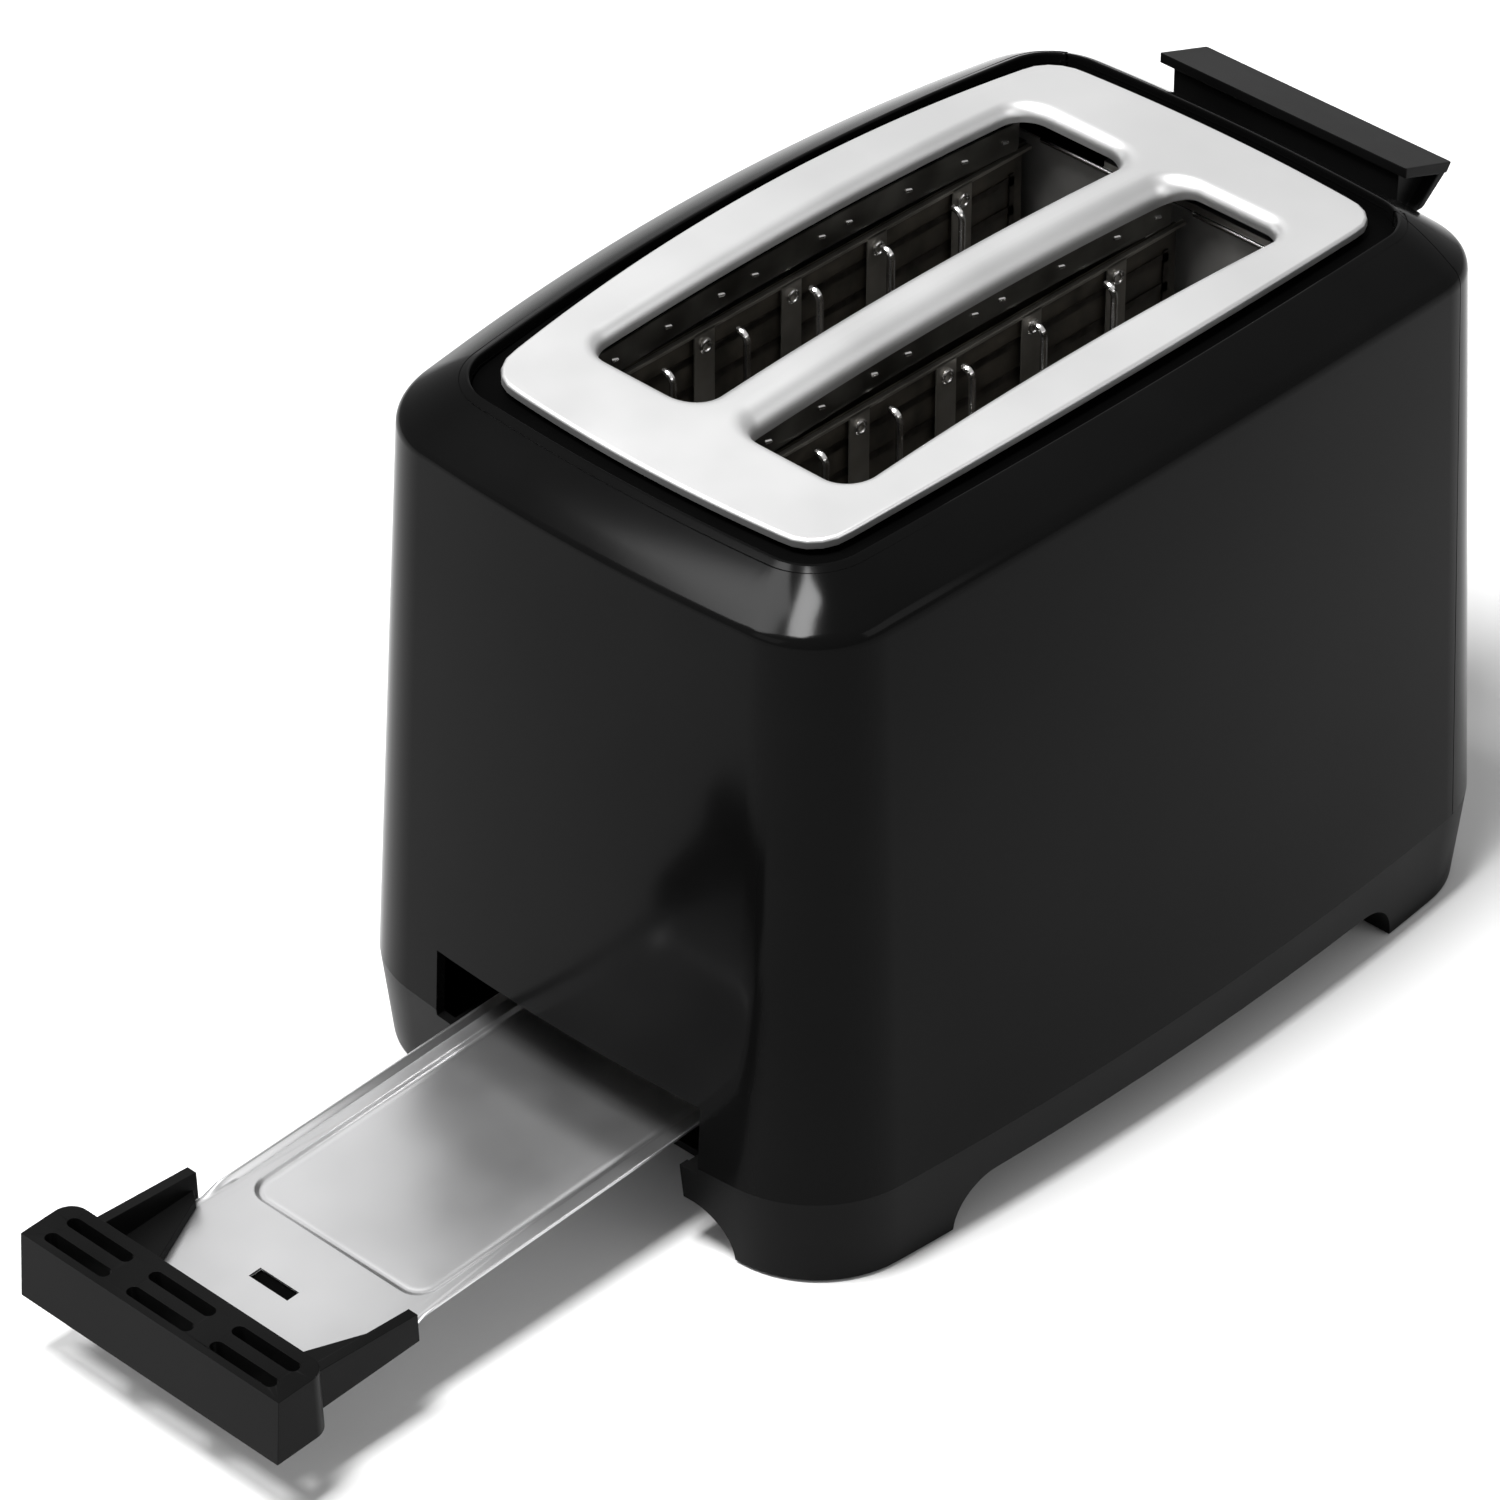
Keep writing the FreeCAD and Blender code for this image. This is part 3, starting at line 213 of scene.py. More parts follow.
def add_bevel(thing, width, segments=3, angle=40.0):
    modifier = thing.modifiers.new("edges", "BEVEL")
    modifier.width = width * MM
    modifier.segments = segments
    modifier.limit_method = "ANGLE"
    modifier.angle_limit = math.radians(angle)
    modifier.use_clamp_overlap = True


def add_thickness(thing, thickness):
    modifier = thing.modifiers.new("sheet", "SOLIDIFY")
    modifier.thickness = thickness * MM
    modifier.offset = -1.0
    modifier.use_even_offset = True


def piece(name, mesh, material, body, replaces=()):
    thing = bpy.data.objects.new(name, mesh)
    bpy.context.scene.collection.objects.link(thing)
    mesh.materials.append(material)
    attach(thing, body)
    if replaces:
        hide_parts(*replaces)
    return thing


def mesh_of(name, shape):
    """Mesh datablock from a bmesh, which is used up."""
    mesh = bpy.data.meshes.new(name)
    shape.to_mesh(mesh)
    shape.free()
    return mesh


def closed_piece(name, shape, material, body, replaces=(), bevel=0.0):
    """Piece from separate closed bodies, whose faces are turned outward."""
    bmesh.ops.recalc_face_normals(shape, faces=shape.faces)
    thing = piece(name, mesh_of(name, shape), material, body, replaces)
    if bevel > 0.0:
        add_bevel(thing, bevel, 2, 35.0)
    add_smooth(thing)


def loft(rows):
    """Quads between equal rows of points; each row runs anticlockwise and rows go up."""
    shape = bmesh.new()
    made = [[shape.verts.new(place(*p)) for p in row] for row in rows]
    count = len(rows[0])
    for low, high in zip(made, made[1:]):
        for index in range(count):
            after = (index + 1) % count
            shape.faces.new((low[index], low[after], high[after], high[index]))
    return shape


def curve_steps(start, knee, stop, count):
    """Points of a quadratic curve that leaves start and reaches stop tangent to the knee."""
    points = []
    for index in range(count + 1):
        t = index / count
        points.append(start * (1 - t) ** 2 + knee * (2 * t * (1 - t)) + stop * t ** 2)
    return points


# ---- materials ----------------------------------------------------------------------------
def new_material(name):
    material = bpy.data.materials.new(name)
    material.use_nodes = True
    tree = material.node_tree
    return material, tree, tree.nodes["Principled BSDF"]


def object_coordinates(tree):
    return tree.nodes.new("ShaderNodeTexCoord").outputs["Object"]


def noise(tree, scale, detail=3.0, stretch=(1.0, 1.0, 1.0), roughness=0.5):
    """Noise factor in the object's own space, stretched along its axes."""
    mapping = tree.nodes.new("ShaderNodeMapping")
    mapping.inputs["Scale"].default_value = stretch
    texture = tree.nodes.new("ShaderNodeTexNoise")
    texture.inputs["Scale"].default_value = scale
    texture.inputs["Detail"].default_value = detail
    texture.inputs["Roughness"].default_value = roughness
    tree.links.new(object_coordinates(tree), mapping.inputs["Vector"])
    tree.links.new(mapping.outputs["Vector"], texture.inputs["Vector"])
    return texture.outputs["Fac"]


def colour_between(tree, factor, dark, light, low=0.3, high=0.7):
    ramp = tree.nodes.new("ShaderNodeValToRGB")
    ramp.color_ramp.elements[0].position = low
    ramp.color_ramp.elements[0].color = (*dark, 1.0)
    ramp.color_ramp.elements[1].position = high
    ramp.color_ramp.elements[1].color = (*light, 1.0)
    tree.links.new(factor, ramp.inputs["Fac"])
    return ramp.outputs["Color"]


def range_between(tree, factor, low, high):
    node = tree.nodes.new("ShaderNodeMapRange")
    node.inputs["From Min"].default_value = 0.3
    node.inputs["From Max"].default_value = 0.7
    node.inputs["To Min"].default_value = low
    node.inputs["To Max"].default_value = high
    tree.links.new(factor, node.inputs["Value"])
    return node.outputs["Result"]


def add_bump(tree, shader, height, depth, strength=1.0):
    """Bump of a real depth in millimetres."""
    bump = tree.nodes.new("ShaderNodeBump")
    bump.inputs["Strength"].default_value = strength
    bump.inputs["Distance"].default_value = depth * MM
    tree.links.new(height, bump.inputs["Height"])
    tree.links.new(bump.outputs["Normal"], shader.inputs["Normal"])


def surface(name, dark, light, rough, patch=40.0, grain=2500.0, depth=0.01, metallic=0.0,
            specular=0.5, grain_stretch=(1.0, 1.0, 1.0)):
    """Finish with slow patches of tone and gloss and a fine grain in its relief."""
    material, tree, shader = new_material(name)
    patches = noise(tree, patch)
    tree.links.new(colour_between(tree, patches, dark, light), shader.inputs["Base Color"])
    tree.links.new(range_between(tree, patches, *rough), shader.inputs["Roughness"])
    shader.inputs["Metallic"].default_value = metallic
    shader.inputs["Specular IOR Level"].default_value = specular
    add_bump(tree, shader, noise(tree, grain, 2.0, grain_stretch), depth)
    return material


def grey(value):
    return (value, value, value)


GLOSS_BLACK = surface("gloss_black", grey(0.0016), grey(0.0024), (0.11, 0.16), patch=18.0,
                      grain=700.0, depth=0.0025, specular=0.045)
SATIN_BLACK = surface("satin_black", grey(0.0022), grey(0.0034), (0.30, 0.40), patch=30.0,
                      grain=2600.0, depth=0.010, specular=0.045)
KNOB_BLACK = surface("knob_black", grey(0.0022), grey(0.0034), (0.28, 0.36), patch=30.0,
                     grain=2600.0, depth=0.008, specular=0.042)
# Near-black with almost no reflection: the top trim's own black, darkened further as painted shade
# in its groove, and the painted shade in the box under the tray's slot.
TRIM_AND_SHADE_BLACK = surface("trim_and_shade_black", grey(0.0006), grey(0.0010), (0.6, 0.7), specular=0.01)
PLATE_STEEL = surface("plate_steel", grey(0.61), grey(0.65), (0.42, 0.47), patch=25.0,
                      grain=4200.0, depth=0.010, metallic=1.0)
TRAY_STEEL = surface("tray_steel", (0.60, 0.60, 0.605), (0.66, 0.66, 0.665), (0.28, 0.36),
                     patch=18.0, grain=160.0, depth=0.012, metallic=1.0,
                     grain_stretch=(1.0, 14.0, 1.0))
CHASSIS_STEEL = surface("chassis_steel", (0.40, 0.39, 0.37), (0.55, 0.54, 0.52), (0.28, 0.42),
                        patch=60.0, grain=900.0, depth=0.02, metallic=1.0)
END_STEEL = surface("end_steel", (0.17, 0.167, 0.16), (0.25, 0.245, 0.235), (0.40, 0.55),
                    patch=60.0, grain=900.0, depth=0.02, metallic=0.7)
STRAP_STEEL = surface("strap_steel", (0.19, 0.18, 0.16), (0.30, 0.285, 0.255), (0.30, 0.44),
                      patch=70.0, grain=900.0, depth=0.02, metallic=0.8)
CHROME_WIRE = surface("chrome_wire", (0.62, 0.61, 0.60), (0.74, 0.73, 0.72), (0.14, 0.24),
                      patch=90.0, grain=1500.0, depth=0.004, metallic=1.0)
DARK_STEEL = surface("dark_steel", (0.09, 0.087, 0.078), (0.17, 0.165, 0.15), (0.30, 0.46),
                     patch=70.0, grain=900.0, depth=0.02, metallic=1.0)
MICA = surface("mica", (0.020, 0.018, 0.014), (0.060, 0.052, 0.040), (0.30, 0.5), patch=140.0,
               grain=500.0, depth=0.05, specular=0.4)
HEATER_WIRE = surface("heater_wire", (0.05, 0.045, 0.04), (0.10, 0.09, 0.08), (0.3, 0.45),
                      patch=300.0, metallic=1.0)
BLACK_RUBBER = surface("black_rubber", grey(0.012), grey(0.02), (0.65, 0.8), patch=200.0,
                       grain=1800.0, depth=0.03, specular=0.3)
CIRCUIT_BOARD = surface("circuit_board", (0.35, 0.22, 0.07), (0.46, 0.30, 0.11), (0.4, 0.5),
                        patch=120.0, grain=900.0, depth=0.02)
COMPONENT_BLACK = surface("component_black", grey(0.012), grey(0.022), (0.35, 0.5), patch=200.0)
COPPER = surface("copper", (0.62, 0.26, 0.12), (0.80, 0.38, 0.20), (0.22, 0.35), patch=80.0,
                 grain=1400.0, depth=0.15, metallic=1.0, grain_stretch=(1.0, 1.0, 8.0))
LENS_AMBER = surface("lens_amber", (0.80, 0.24, 0.02), (0.95, 0.36, 0.05), (0.12, 0.2),
                     patch=400.0, depth=0.01)
WHITE_PLASTIC = surface("white_plastic", grey(0.72), grey(0.80), (0.35, 0.45), patch=200.0)


# ---- housing ------------------------------------------------------------------------------
def housing_rows():
    """Rows of the housing's outer skin, from the seam up over the bevel and down the mouth."""
    low_ring = closed_outline(SEAM_RING)
    high_ring = closed_outline(SHOULDER_RING)
    mouth_ring = closed_outline(MOUTH_RING)
    columns = []
    for low, high, inner in zip(low_ring, high_ring, mouth_ring):
        foot = Vector((low.x, low.y, SEAM_Z))
        knee = Vector((high.x, high.y, SHOULDER_Z - SHOULDER_SAG * high.x ** 2))
        brim = Vector((inner.x, inner.y, CROWN_Z - CROWN_SAG * inner.x ** 2))
        wall_way = (foot - knee).normalized()
        bevel_way = (brim - knee).normalized()
        outward = Vector((high.x - inner.x, high.y - inner.y)).normalized()
        turn = BEVEL_TURN + BEVEL_TURN_SIDE * outward.y ** 2
        bulge_way = Vector((outward.x, outward.y, 2.0)).normalized()
        column = [foot + (knee - foot) * share for share in (0.0, 0.03, 0.2, 0.4, 0.6, 0.8, 0.95)]
        column += curve_steps(knee + wall_way * turn, knee, knee + bevel_way * turn, 7)
        start, stop = knee + bevel_way * turn, brim - bevel_way * BRIM_ROUND
        for share in (0.2, 0.4, 0.6, 0.8):
            bulge = BEVEL_BULGE * 4.0 * share * (1.0 - share)
            column.append(start.lerp(stop, share) + bulge_way * bulge)
        column += curve_steps(stop, brim, brim - Vector((0.0, 0.0, BRIM_ROUND)), 5)
        column.append(brim - Vector((0.0, 0.0, LIP_DEPTH)))
        columns.append(column)
    return [list(row) for row in zip(*columns)]


def cut_plane(shape, point, normal, where=None, keep_below=False):
    """Cuts every face that passes the test along a plane, and can drop what lies beyond it."""
    faces = [f for f in shape.faces if where is None or where(f.calc_center_median())]
    edges = list({e for f in faces for e in f.edges})
    verts = list({v for f in faces for v in f.verts})
    bmesh.ops.bisect_plane(shape, geom=verts + edges + faces, plane_co=point, plane_no=normal,
                           clear_outer=keep_below)


def at_tray_end(centre):
    return centre.x < place(TRAY_END_X, 0, 0).x


def at_lever_end(centre):
    return centre.x > place(LEVER_END_X, 0, 0).x


def window(shape, end_test, half_width, low, high):
    """Opens a rectangular hole in one end wall and returns the edges round it."""
    for side in (-1, 1):
        cut_plane(shape, place(0, side * half_width, 0), Vector((0, 1, 0)), end_test)
    for z in (low, high):
        if z > SEAM_Z:       # a hole that reaches the seam needs no cut there
            cut_plane(shape, place(0, 0, z), Vector((0, 0, 1)), end_test)
    gone = []
    for face in shape.faces:
        centre = face.calc_center_median()
        inside = abs(centre.y) < half_width * MM and low * MM < centre.z < high * MM
        if inside and end_test(centre):
            gone.append(face)
    kept_edges = {e for f in gone for e in f.edges if any(g not in gone for g in e.link_faces)}
    bmesh.ops.delete(shape, geom=gone, context="FACES")
    return [e for e in kept_edges if e.is_valid]


def outer_shell():
    """Broad sides, tray end and most of the top, with the tray's opening."""
    shape = loft(housing_rows())
    cut_plane(shape, place(PARTING_X - PARTING_HALF_GAP, 0, 0), Vector((1, 0, 0)), None, True)
    window(shape, at_tray_end, TRAY_GATE_HALF_WIDTH, 0.0, TRAY_GATE_TOP)
    mesh = mesh_of("shell_skin", shape)
    thing = piece("shell_skin", mesh, GLOSS_BLACK, "housing", ("outer_shell",))
    add_thickness(thing, WALL)
    add_bevel(thing, *SKIN_BEVEL)
    add_smooth(thing)


def end_cover():
    """Lever end, with the recess that holds the control panel."""
    shape = loft(housing_rows())
    cut_plane(shape, place(PARTING_X + PARTING_HALF_GAP, 0, 0), Vector((-1, 0, 0)), None, True)
    rim = window(shape, at_lever_end, PANEL_HIGH.y + RECESS_GAP, PANEL_LOW.z - RECESS_GAP,
                 PANEL_HIGH.z + RECESS_GAP)
    grown = bmesh.ops.extrude_edge_only(shape, edges=rim)
    depth = place(PANEL_HIGH.x - RECESS_DEPTH, 0, 0).x
    for vert in (item for item in grown["geom"] if isinstance(item, bmesh.types.BMVert)):
        vert.co.x = depth
    bmesh.ops.recalc_face_normals(shape, faces=shape.faces)
    if sum(f.normal.x * f.calc_area() for f in shape.faces) < 0.0:
        bmesh.ops.reverse_faces(shape, faces=shape.faces)
    mesh = mesh_of("cover_skin", shape)
    thing = piece("cover_skin", mesh, GLOSS_BLACK, "housing", ("end_cover",))
    add_thickness(thing, COVER_WALL)
    add_bevel(thing, *SKIN_BEVEL)
    add_smooth(thing)


# ---- top plate ----------------------------------------------------------------------------
def plate_height(x):
    return PLATE_Z - PLATE_SAG * x * x


def slot_columns():
    """(point on the slot's edge, direction away from the slot) for the slot on the +Y side."""
    inner = (SLOT_HALF[0] - SLOT_CORNER, SLOT_HALF[1] - SLOT_CORNER)
    toward_middle = math.atan2(inner[1] - SLOT_Y, PLATE_RING[0] - inner[0])
    columns = []

    def straight(start, stop, way, count):
        for index in range(count):
            t = index / count
            columns.append((start.lerp(stop, t), way))

    def corner(sx, sy, angles):
        centre = Vector((sx * inner[0], SLOT_Y + sy * inner[1]))
        for angle in angles:
            way = Vector((math.cos(angle), math.sin(angle)))
            columns.append((centre + way * SLOT_CORNER, way))

    quarter = 0.5 * math.pi
    fan = [quarter * index / 14 for index in range(14)]
    closest = min(range(14), key=lambda index: abs(-quarter + fan[index] - toward_middle))
    low_fan = [-quarter + angle for angle in fan]
    low_fan[closest] = toward_middle
    low_left = sorted(-math.pi - angle for angle in low_fan + [0.0])[:-1]
    right, left = SLOT_HALF[0], -SLOT_HALF[0]
    top, bottom = SLOT_Y + SLOT_HALF[1], SLOT_Y - SLOT_HALF[1]
    corner(1, -1, low_fan)
    straight(Vector((right, SLOT_Y - inner[1])), Vector((right, SLOT_Y + inner[1])),
             Vector((1, 0)), 8)
    corner(1, 1, fan)
    straight(Vector((inner[0], top)), Vector((-inner[0], top)), Vector((0, 1)), 44)
    corner(-1, 1, [quarter + angle for angle in fan])
    straight(Vector((left, SLOT_Y + inner[1])), Vector((left, SLOT_Y - inner[1])),
             Vector((-1, 0)), 8)
    corner(-1, -1, low_left)
    straight(Vector((-inner[0], bottom)), Vector((inner[0], bottom)), Vector((0, -1)), 44)
    return columns


def outline_hit(outline, start, way):
    """Where a ray from inside meets a closed outline, and the outline's normal there."""
    for first, second in zip(outline, outline[1:] + outline[:1]):
        edge = second - first
        cross = way.x * edge.y - way.y * edge.x
        if abs(cross) < 1e-9:
            continue
        gap = first - start
        distance = (gap.x * edge.y - gap.y * edge.x) / cross
        share = (gap.x * way.y - gap.y * way.x) / cross
        if distance > 0.0 and -1e-6 <= share <= 1.0 + 1e-6:
            return start + way * distance, Vector((edge.y, -edge.x)).normalized()
    raise ValueError("a ray missed the plate's outline")


def plate_column(edge, way, outline, side):
    """Points of one strip of the plate, from under the slot's lip to the outer fold."""
    bridge = 1e9 if way.y >= -1e-6 else edge.y / -way.y
    end, normal = outline_hit(outline, edge, way)
    on_bridge = bridge < (end - edge).length - 1e-3
    lip = LIP_ROUND + (RIDGE_ROUND - LIP_ROUND) * max(0.0, -way.y) ** 2
    points = []

    def add(flat, drop):
        points.append((flat.x, side * flat.y, plate_height(flat.x) - drop))

    add(edge, LIP_LOW + lip - LIP_ROUND)
    for index in range(10):
        angle = 0.5 * math.pi * index / 9
        add(edge + way * lip * (1.0 - math.cos(angle)), lip * (1.0 - math.sin(angle)))
    start = edge + way * lip
    fold = edge + way * bridge if on_bridge else end - normal * PLATE_EDGE_ROUND
    for share in (0.12, 0.35, 0.65, 0.88, 1.0):
        add(start.lerp(fold, share), 0.0)
    if not on_bridge:
        for index in range(1, 7):
            angle = 0.5 * math.pi * index / 6
            add(fold + normal * PLATE_EDGE_ROUND * math.sin(angle),
                PLATE_EDGE_ROUND * (1.0 - math.cos(angle)))
        add(end, PLATE_EDGE_DEPTH)
    return points


def top_plate():
    """Bead-blasted plate: each half is a fan of strips from its slot to the plate's edge."""
    outline = closed_outline(PLATE_RING, PLATE_BOWS, 38.0, 76.0)
    shape = bmesh.new()
    for side in (-1, 1):
        columns = [plate_column(edge, way, outline, side) for edge, way in slot_columns()]
        made = [[shape.verts.new(place(*p)) for p in column] for column in columns]
        for here, there in zip(made, made[1:] + made[:1]):
            for row in range(min(len(here), len(there)) - 1):
                corners = [here[row], here[row + 1], there[row + 1], there[row]]
                shape.faces.new(corners if side > 0 else corners[::-1])
    bmesh.ops.remove_doubles(shape, verts=shape.verts, dist=0.02 * MM)
    bmesh.ops.recalc_face_normals(shape, faces=shape.faces)
    if sum(f.normal.z * f.calc_area() for f in shape.faces) < 0.0:
        bmesh.ops.reverse_faces(shape, faces=shape.faces)
    mesh = mesh_of("plate_sheet", shape)
    thing = piece("plate_sheet", mesh, PLATE_STEEL, "housing", ("top_plate",))
    add_thickness(thing, PLATE_SHEET)
    add_smooth(thing)


# ---- crumb tray ---------------------------------------------------------------------------
TRAY_TILT = math.radians(2.5)
HANDLE_DROP = 4.0            # bar's underside, below the tray's rim
HANDLE_LOW = local("tray_handle")[0]
TRAY_ORIGIN = Vector((HANDLE_LOW.x - HANDLE_DROP * math.sin(TRAY_TILT), 0.0,
                      HANDLE_LOW.z + HANDLE_DROP * math.cos(TRAY_TILT)))
TRAY_LENGTH = 212.0
TRAY_HALF_WIDTH = 33.5
TRAY_START = 9.0
RIM_START = 48.0
RIM_HEIGHT = 1.6
PRESS_LOW, PRESS_HIGH, PRESS_HALF_WIDTH = 55.0, 202.0, 28.5
TRAY_HOLE = (36.2, 39.8, 6.2)
RIM_PROFILE = ((0.0, -0.35), (0.25, -0.08), (0.6, 0.0), (1.0, -0.2), (1.5, -1.0), (2.0, -1.5))
PRESS_PROFILE = ((0.0, 0.0), (0.45, 0.12), (1.0, 0.55), (1.6, 0.75), (2.3, 0.62), (3.2, 0.5),
                 (9.0, 0.5))
SHADE_BOX_MARGIN = 0.6          # painted-shade box beyond the slot's edges
SHADE_BOX_DEPTHS = (2.4, 1.2)   # its underside and top, below the tray's sheet


def on_tray(x, y, z):
    """Point of the tray's own frame: handle front at x = 0, rim at z = 0."""
    along, up = math.cos(TRAY_TILT), math.sin(TRAY_TILT)
    return (TRAY_ORIGIN.x + x * along - z * up, y, TRAY_ORIGIN.z + x * up + z * along)


def rounded_rectangle(low, high, half_width, corner, side_steps=44, end_steps=16, turn_steps=7):
    """Points anticlockwise from the far end's -Y corner."""
    points = []

    def straight(start, stop, count):
        points.extend(Vector(start).lerp(Vector(stop), k / count) for k in range(count))

    def turn(centre, first):
        for k in range(turn_steps):
            angle = first + 0.5 * math.pi * k / turn_steps
            points.append(Vector(centre) + corner * Vector((math.cos(angle), math.sin(angle))))

    reach = half_width - corner
    straight((high, -reach), (high, reach), end_steps)
    turn((high - corner, reach), 0.0)
    straight((high - corner, half_width), (low + corner, half_width), side_steps)
    turn((low + corner, reach), 0.5 * math.pi)
    straight((low, reach), (low, -reach), end_steps)
    turn((low + corner, -reach), math.pi)
    straight((low + corner, -half_width), (high - corner, -half_width), side_steps)
    turn((high - corner, -reach), 1.5 * math.pi)
    return points


def crumb_tray():
    """Steel sheet with a rolled rim, a pressed panel and the slot by the handle."""
    def rim(x):
        share = min(max((x - RIM_START) / 4.0, 0.0), 1.0)
        return -RIM_HEIGHT * (1.0 - share * share * (3.0 - 2.0 * share))

    flat = -RIM_HEIGHT
    loops = []
    for inset, lift in RIM_PROFILE:
        outline = rounded_rectangle(TRAY_START + inset, TRAY_LENGTH - inset,
                                    TRAY_HALF_WIDTH - inset, 2.6 - 0.5 * inset)
        loops.append([on_tray(p.x, p.y, max(rim(p.x) + lift, flat)) for p in outline])
    for inset, drop in PRESS_PROFILE:
        outline = rounded_rectangle(PRESS_LOW + inset, PRESS_HIGH - inset,
                                    PRESS_HALF_WIDTH - inset, max(6.0 - 0.7 * inset, 1.0))
        loops.append([on_tray(p.x, p.y, flat - drop) for p in outline])
    shape = loft(loops)
    shape.verts.ensure_lookup_table()
    shape.faces.new(shape.verts[-len(loops[-1]):])
    near, far, half = TRAY_HOLE

    def by_handle(centre):
        return centre.x < place(*on_tray(PRESS_LOW - 1.0, 0, 0)).x

    for x in (near, far):
        cut_plane(shape, place(*on_tray(x, 0, flat)), Vector((1, 0, 0)), by_handle)
    for y in (-half, half):
        cut_plane(shape, place(0, y, 0), Vector((0, 1, 0)), by_handle)
    low_x, high_x = place(*on_tray(near, 0, flat)).x, place(*on_tray(far, 0, flat)).x
    gone = [f for f in shape.faces if low_x < f.calc_center_median().x < high_x
            and abs(f.calc_center_median().y) < half * MM]
    bmesh.ops.delete(shape, geom=gone, context="FACES")
    mesh = mesh_of("tray_sheet", shape)
    thing = piece("tray_sheet", mesh, TRAY_STEEL, "crumb_tray",
                  ("crumb_tray_sheet",))
    add_thickness(thing, 0.6)
    add_smooth(thing)


def slot_shade_box():
    """Near-black box just under the tray's slot: painted shade seen through the slot."""
    near, far, half = TRAY_HOLE
    shape = bmesh.new()
    corners = [shape.verts.new(place(*on_tray(x, y, -RIM_HEIGHT - depth)))
               for x in (near - SHADE_BOX_MARGIN, far + SHADE_BOX_MARGIN)
               for y in (-half - SHADE_BOX_MARGIN, half + SHADE_BOX_MARGIN)
               for depth in SHADE_BOX_DEPTHS]
    for face in BOX_FACES:
        shape.faces.new([corners[k] for k in face])
    # painted shade: a near-black box that keeps the tray's slot dark
    closed_piece("slot_shade_box", shape, TRIM_AND_SHADE_BLACK, "crumb_tray", bevel=0.3)


# ---- carried-over CAD nodes ---------------------------------------------------------------
FINISHES = {
    "base": (SATIN_BLACK, 0.7),
    "foot_pads": (BLACK_RUBBER, 0.3),
    "base_screws": (CHASSIS_STEEL, 0.3),
    "cord_gland": (BLACK_RUBBER, 0.3),
    "terminal_block": (WHITE_PLASTIC, 0.5),
    # black trim, darkened further as painted shade in its groove
    "top_trim": (TRIM_AND_SHADE_BLACK, 0.3),
    "tray_handle": (KNOB_BLACK, 0.7),
    "tray_rails": (CHASSIS_STEEL, 0.2),
    "end_plate_lever": (END_STEEL, 0.15),
    "end_plate_tray": (END_STEEL, 0.15),
    "reflector_left": (DARK_STEEL, 0.15),
    "reflector_right": (DARK_STEEL, 0.15),
    "carriage_bracket": (CHASSIS_STEEL, 0.3),
    "bread_rack_left": (CHROME_WIRE, 0.3),
    "bread_rack_right": (CHROME_WIRE, 0.3),
    "armature": (CHASSIS_STEEL, 0.3),
    "lever_knob": (KNOB_BLACK, 0.45),
    "guide_rod": (CHROME_WIRE, 0.3),
    "rod_bracket_low": (CHASSIS_STEEL, 0.3),
    "rod_bracket_high": (CHASSIS_STEEL, 0.3),
    "magnet_core": (CHASSIS_STEEL, 0.3),
    "magnet_coil": (COPPER, 0.4),
    "control_panel": (SATIN_BLACK, 0.4),
    "browning_knob": (KNOB_BLACK, 0.25),
    "control_board": (CIRCUIT_BOARD, 0.1),
    "board_parts": (COMPONENT_BLACK, 0.3),
    "indicator_lens": (LENS_AMBER, 0.4),
    "board_screws": (CHASSIS_STEEL, 0.3),
    "defrost_button": (KNOB_BLACK, 0.2),
    "reheat_button": (KNOB_BLACK, 0.2),
    "stop_button": (KNOB_BLACK, 0.2),
}


def dress_cad_nodes():
    """Gives each shown CAD node its finish and slightly broken edges."""
    for name, (material, width) in FINISHES.items():
        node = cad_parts[name]
        node.data.materials.clear()
        node.data.materials.append(material)
        weld = node.modifiers.new("weld", "WELD")
        weld.merge_threshold = WELD_DISTANCE
        if width > 0.0:
            add_bevel(node, width, 2, 35.0)
        add_smooth(node)


# ---- inside the slots ---------------------------------------------------------------------
GUIDE_OFFSET = 13.5
GUIDE_PITCH = 24.0
GUIDE_LOW = 50.0
GUIDE_REACH = 77.0
PIVOT_RADIUS = 1.1
HOOK_Z = 163.4
HOOK_RADIUS = 2.4
HOOK_TURN = math.radians(112.0)
HOOK_STEPS = 8
WIRE_RADIUS = 0.9

BOARD_REACH = 75.0
BOARD_LOW_Z, BOARD_HIGH_Z = 58.0, 169.0
BOARD_THICK = 0.8
FRAME_REACH = 77.0
FRAME_DEPTH = 1.4
STRAPS = (-62.0, -33.0, -4.5, 24.0, 53.0)
STRAP_HALF_WIDTH = 3.3
STRAP_THICK = 0.5
EYELET_Z = 165.0
EYELET_RADIUS = 1.5

RIBBON_HEIGHTS = range(66, 166, 8)
RIBBON_LAST_LINKED = 158     # ribbons below it have a stitch up to the next one
RIBBON_REACH = 72.0
RIBBON_HALF_HEIGHT = 0.9
RIBBON_GAP = 0.15
RIBBON_THICK = 0.25
STITCH_X = 71.0
STITCH_HALF_WIDTH = 0.8
STITCH_THICK = 0.5
STITCH_DROP = 1.6
STITCH_RISE = 9.0

GUARD_REACH = 71.0
GUARD_STEPS = 40
GUARD_GAP = 0.6              # from the slot's edge out to the strip
GUARD_TOP = LIP_LOW + 1.0    # below the plate
GUARD_BOTTOM = 13.8
STUD_X = (-63.0, -46.0, -29.0, -18.0, 4.0, 13.0, 33.0, 52.0, 66.0)
STUD_DROP = 9.6
STUD_HALF_WIDTH = 0.8

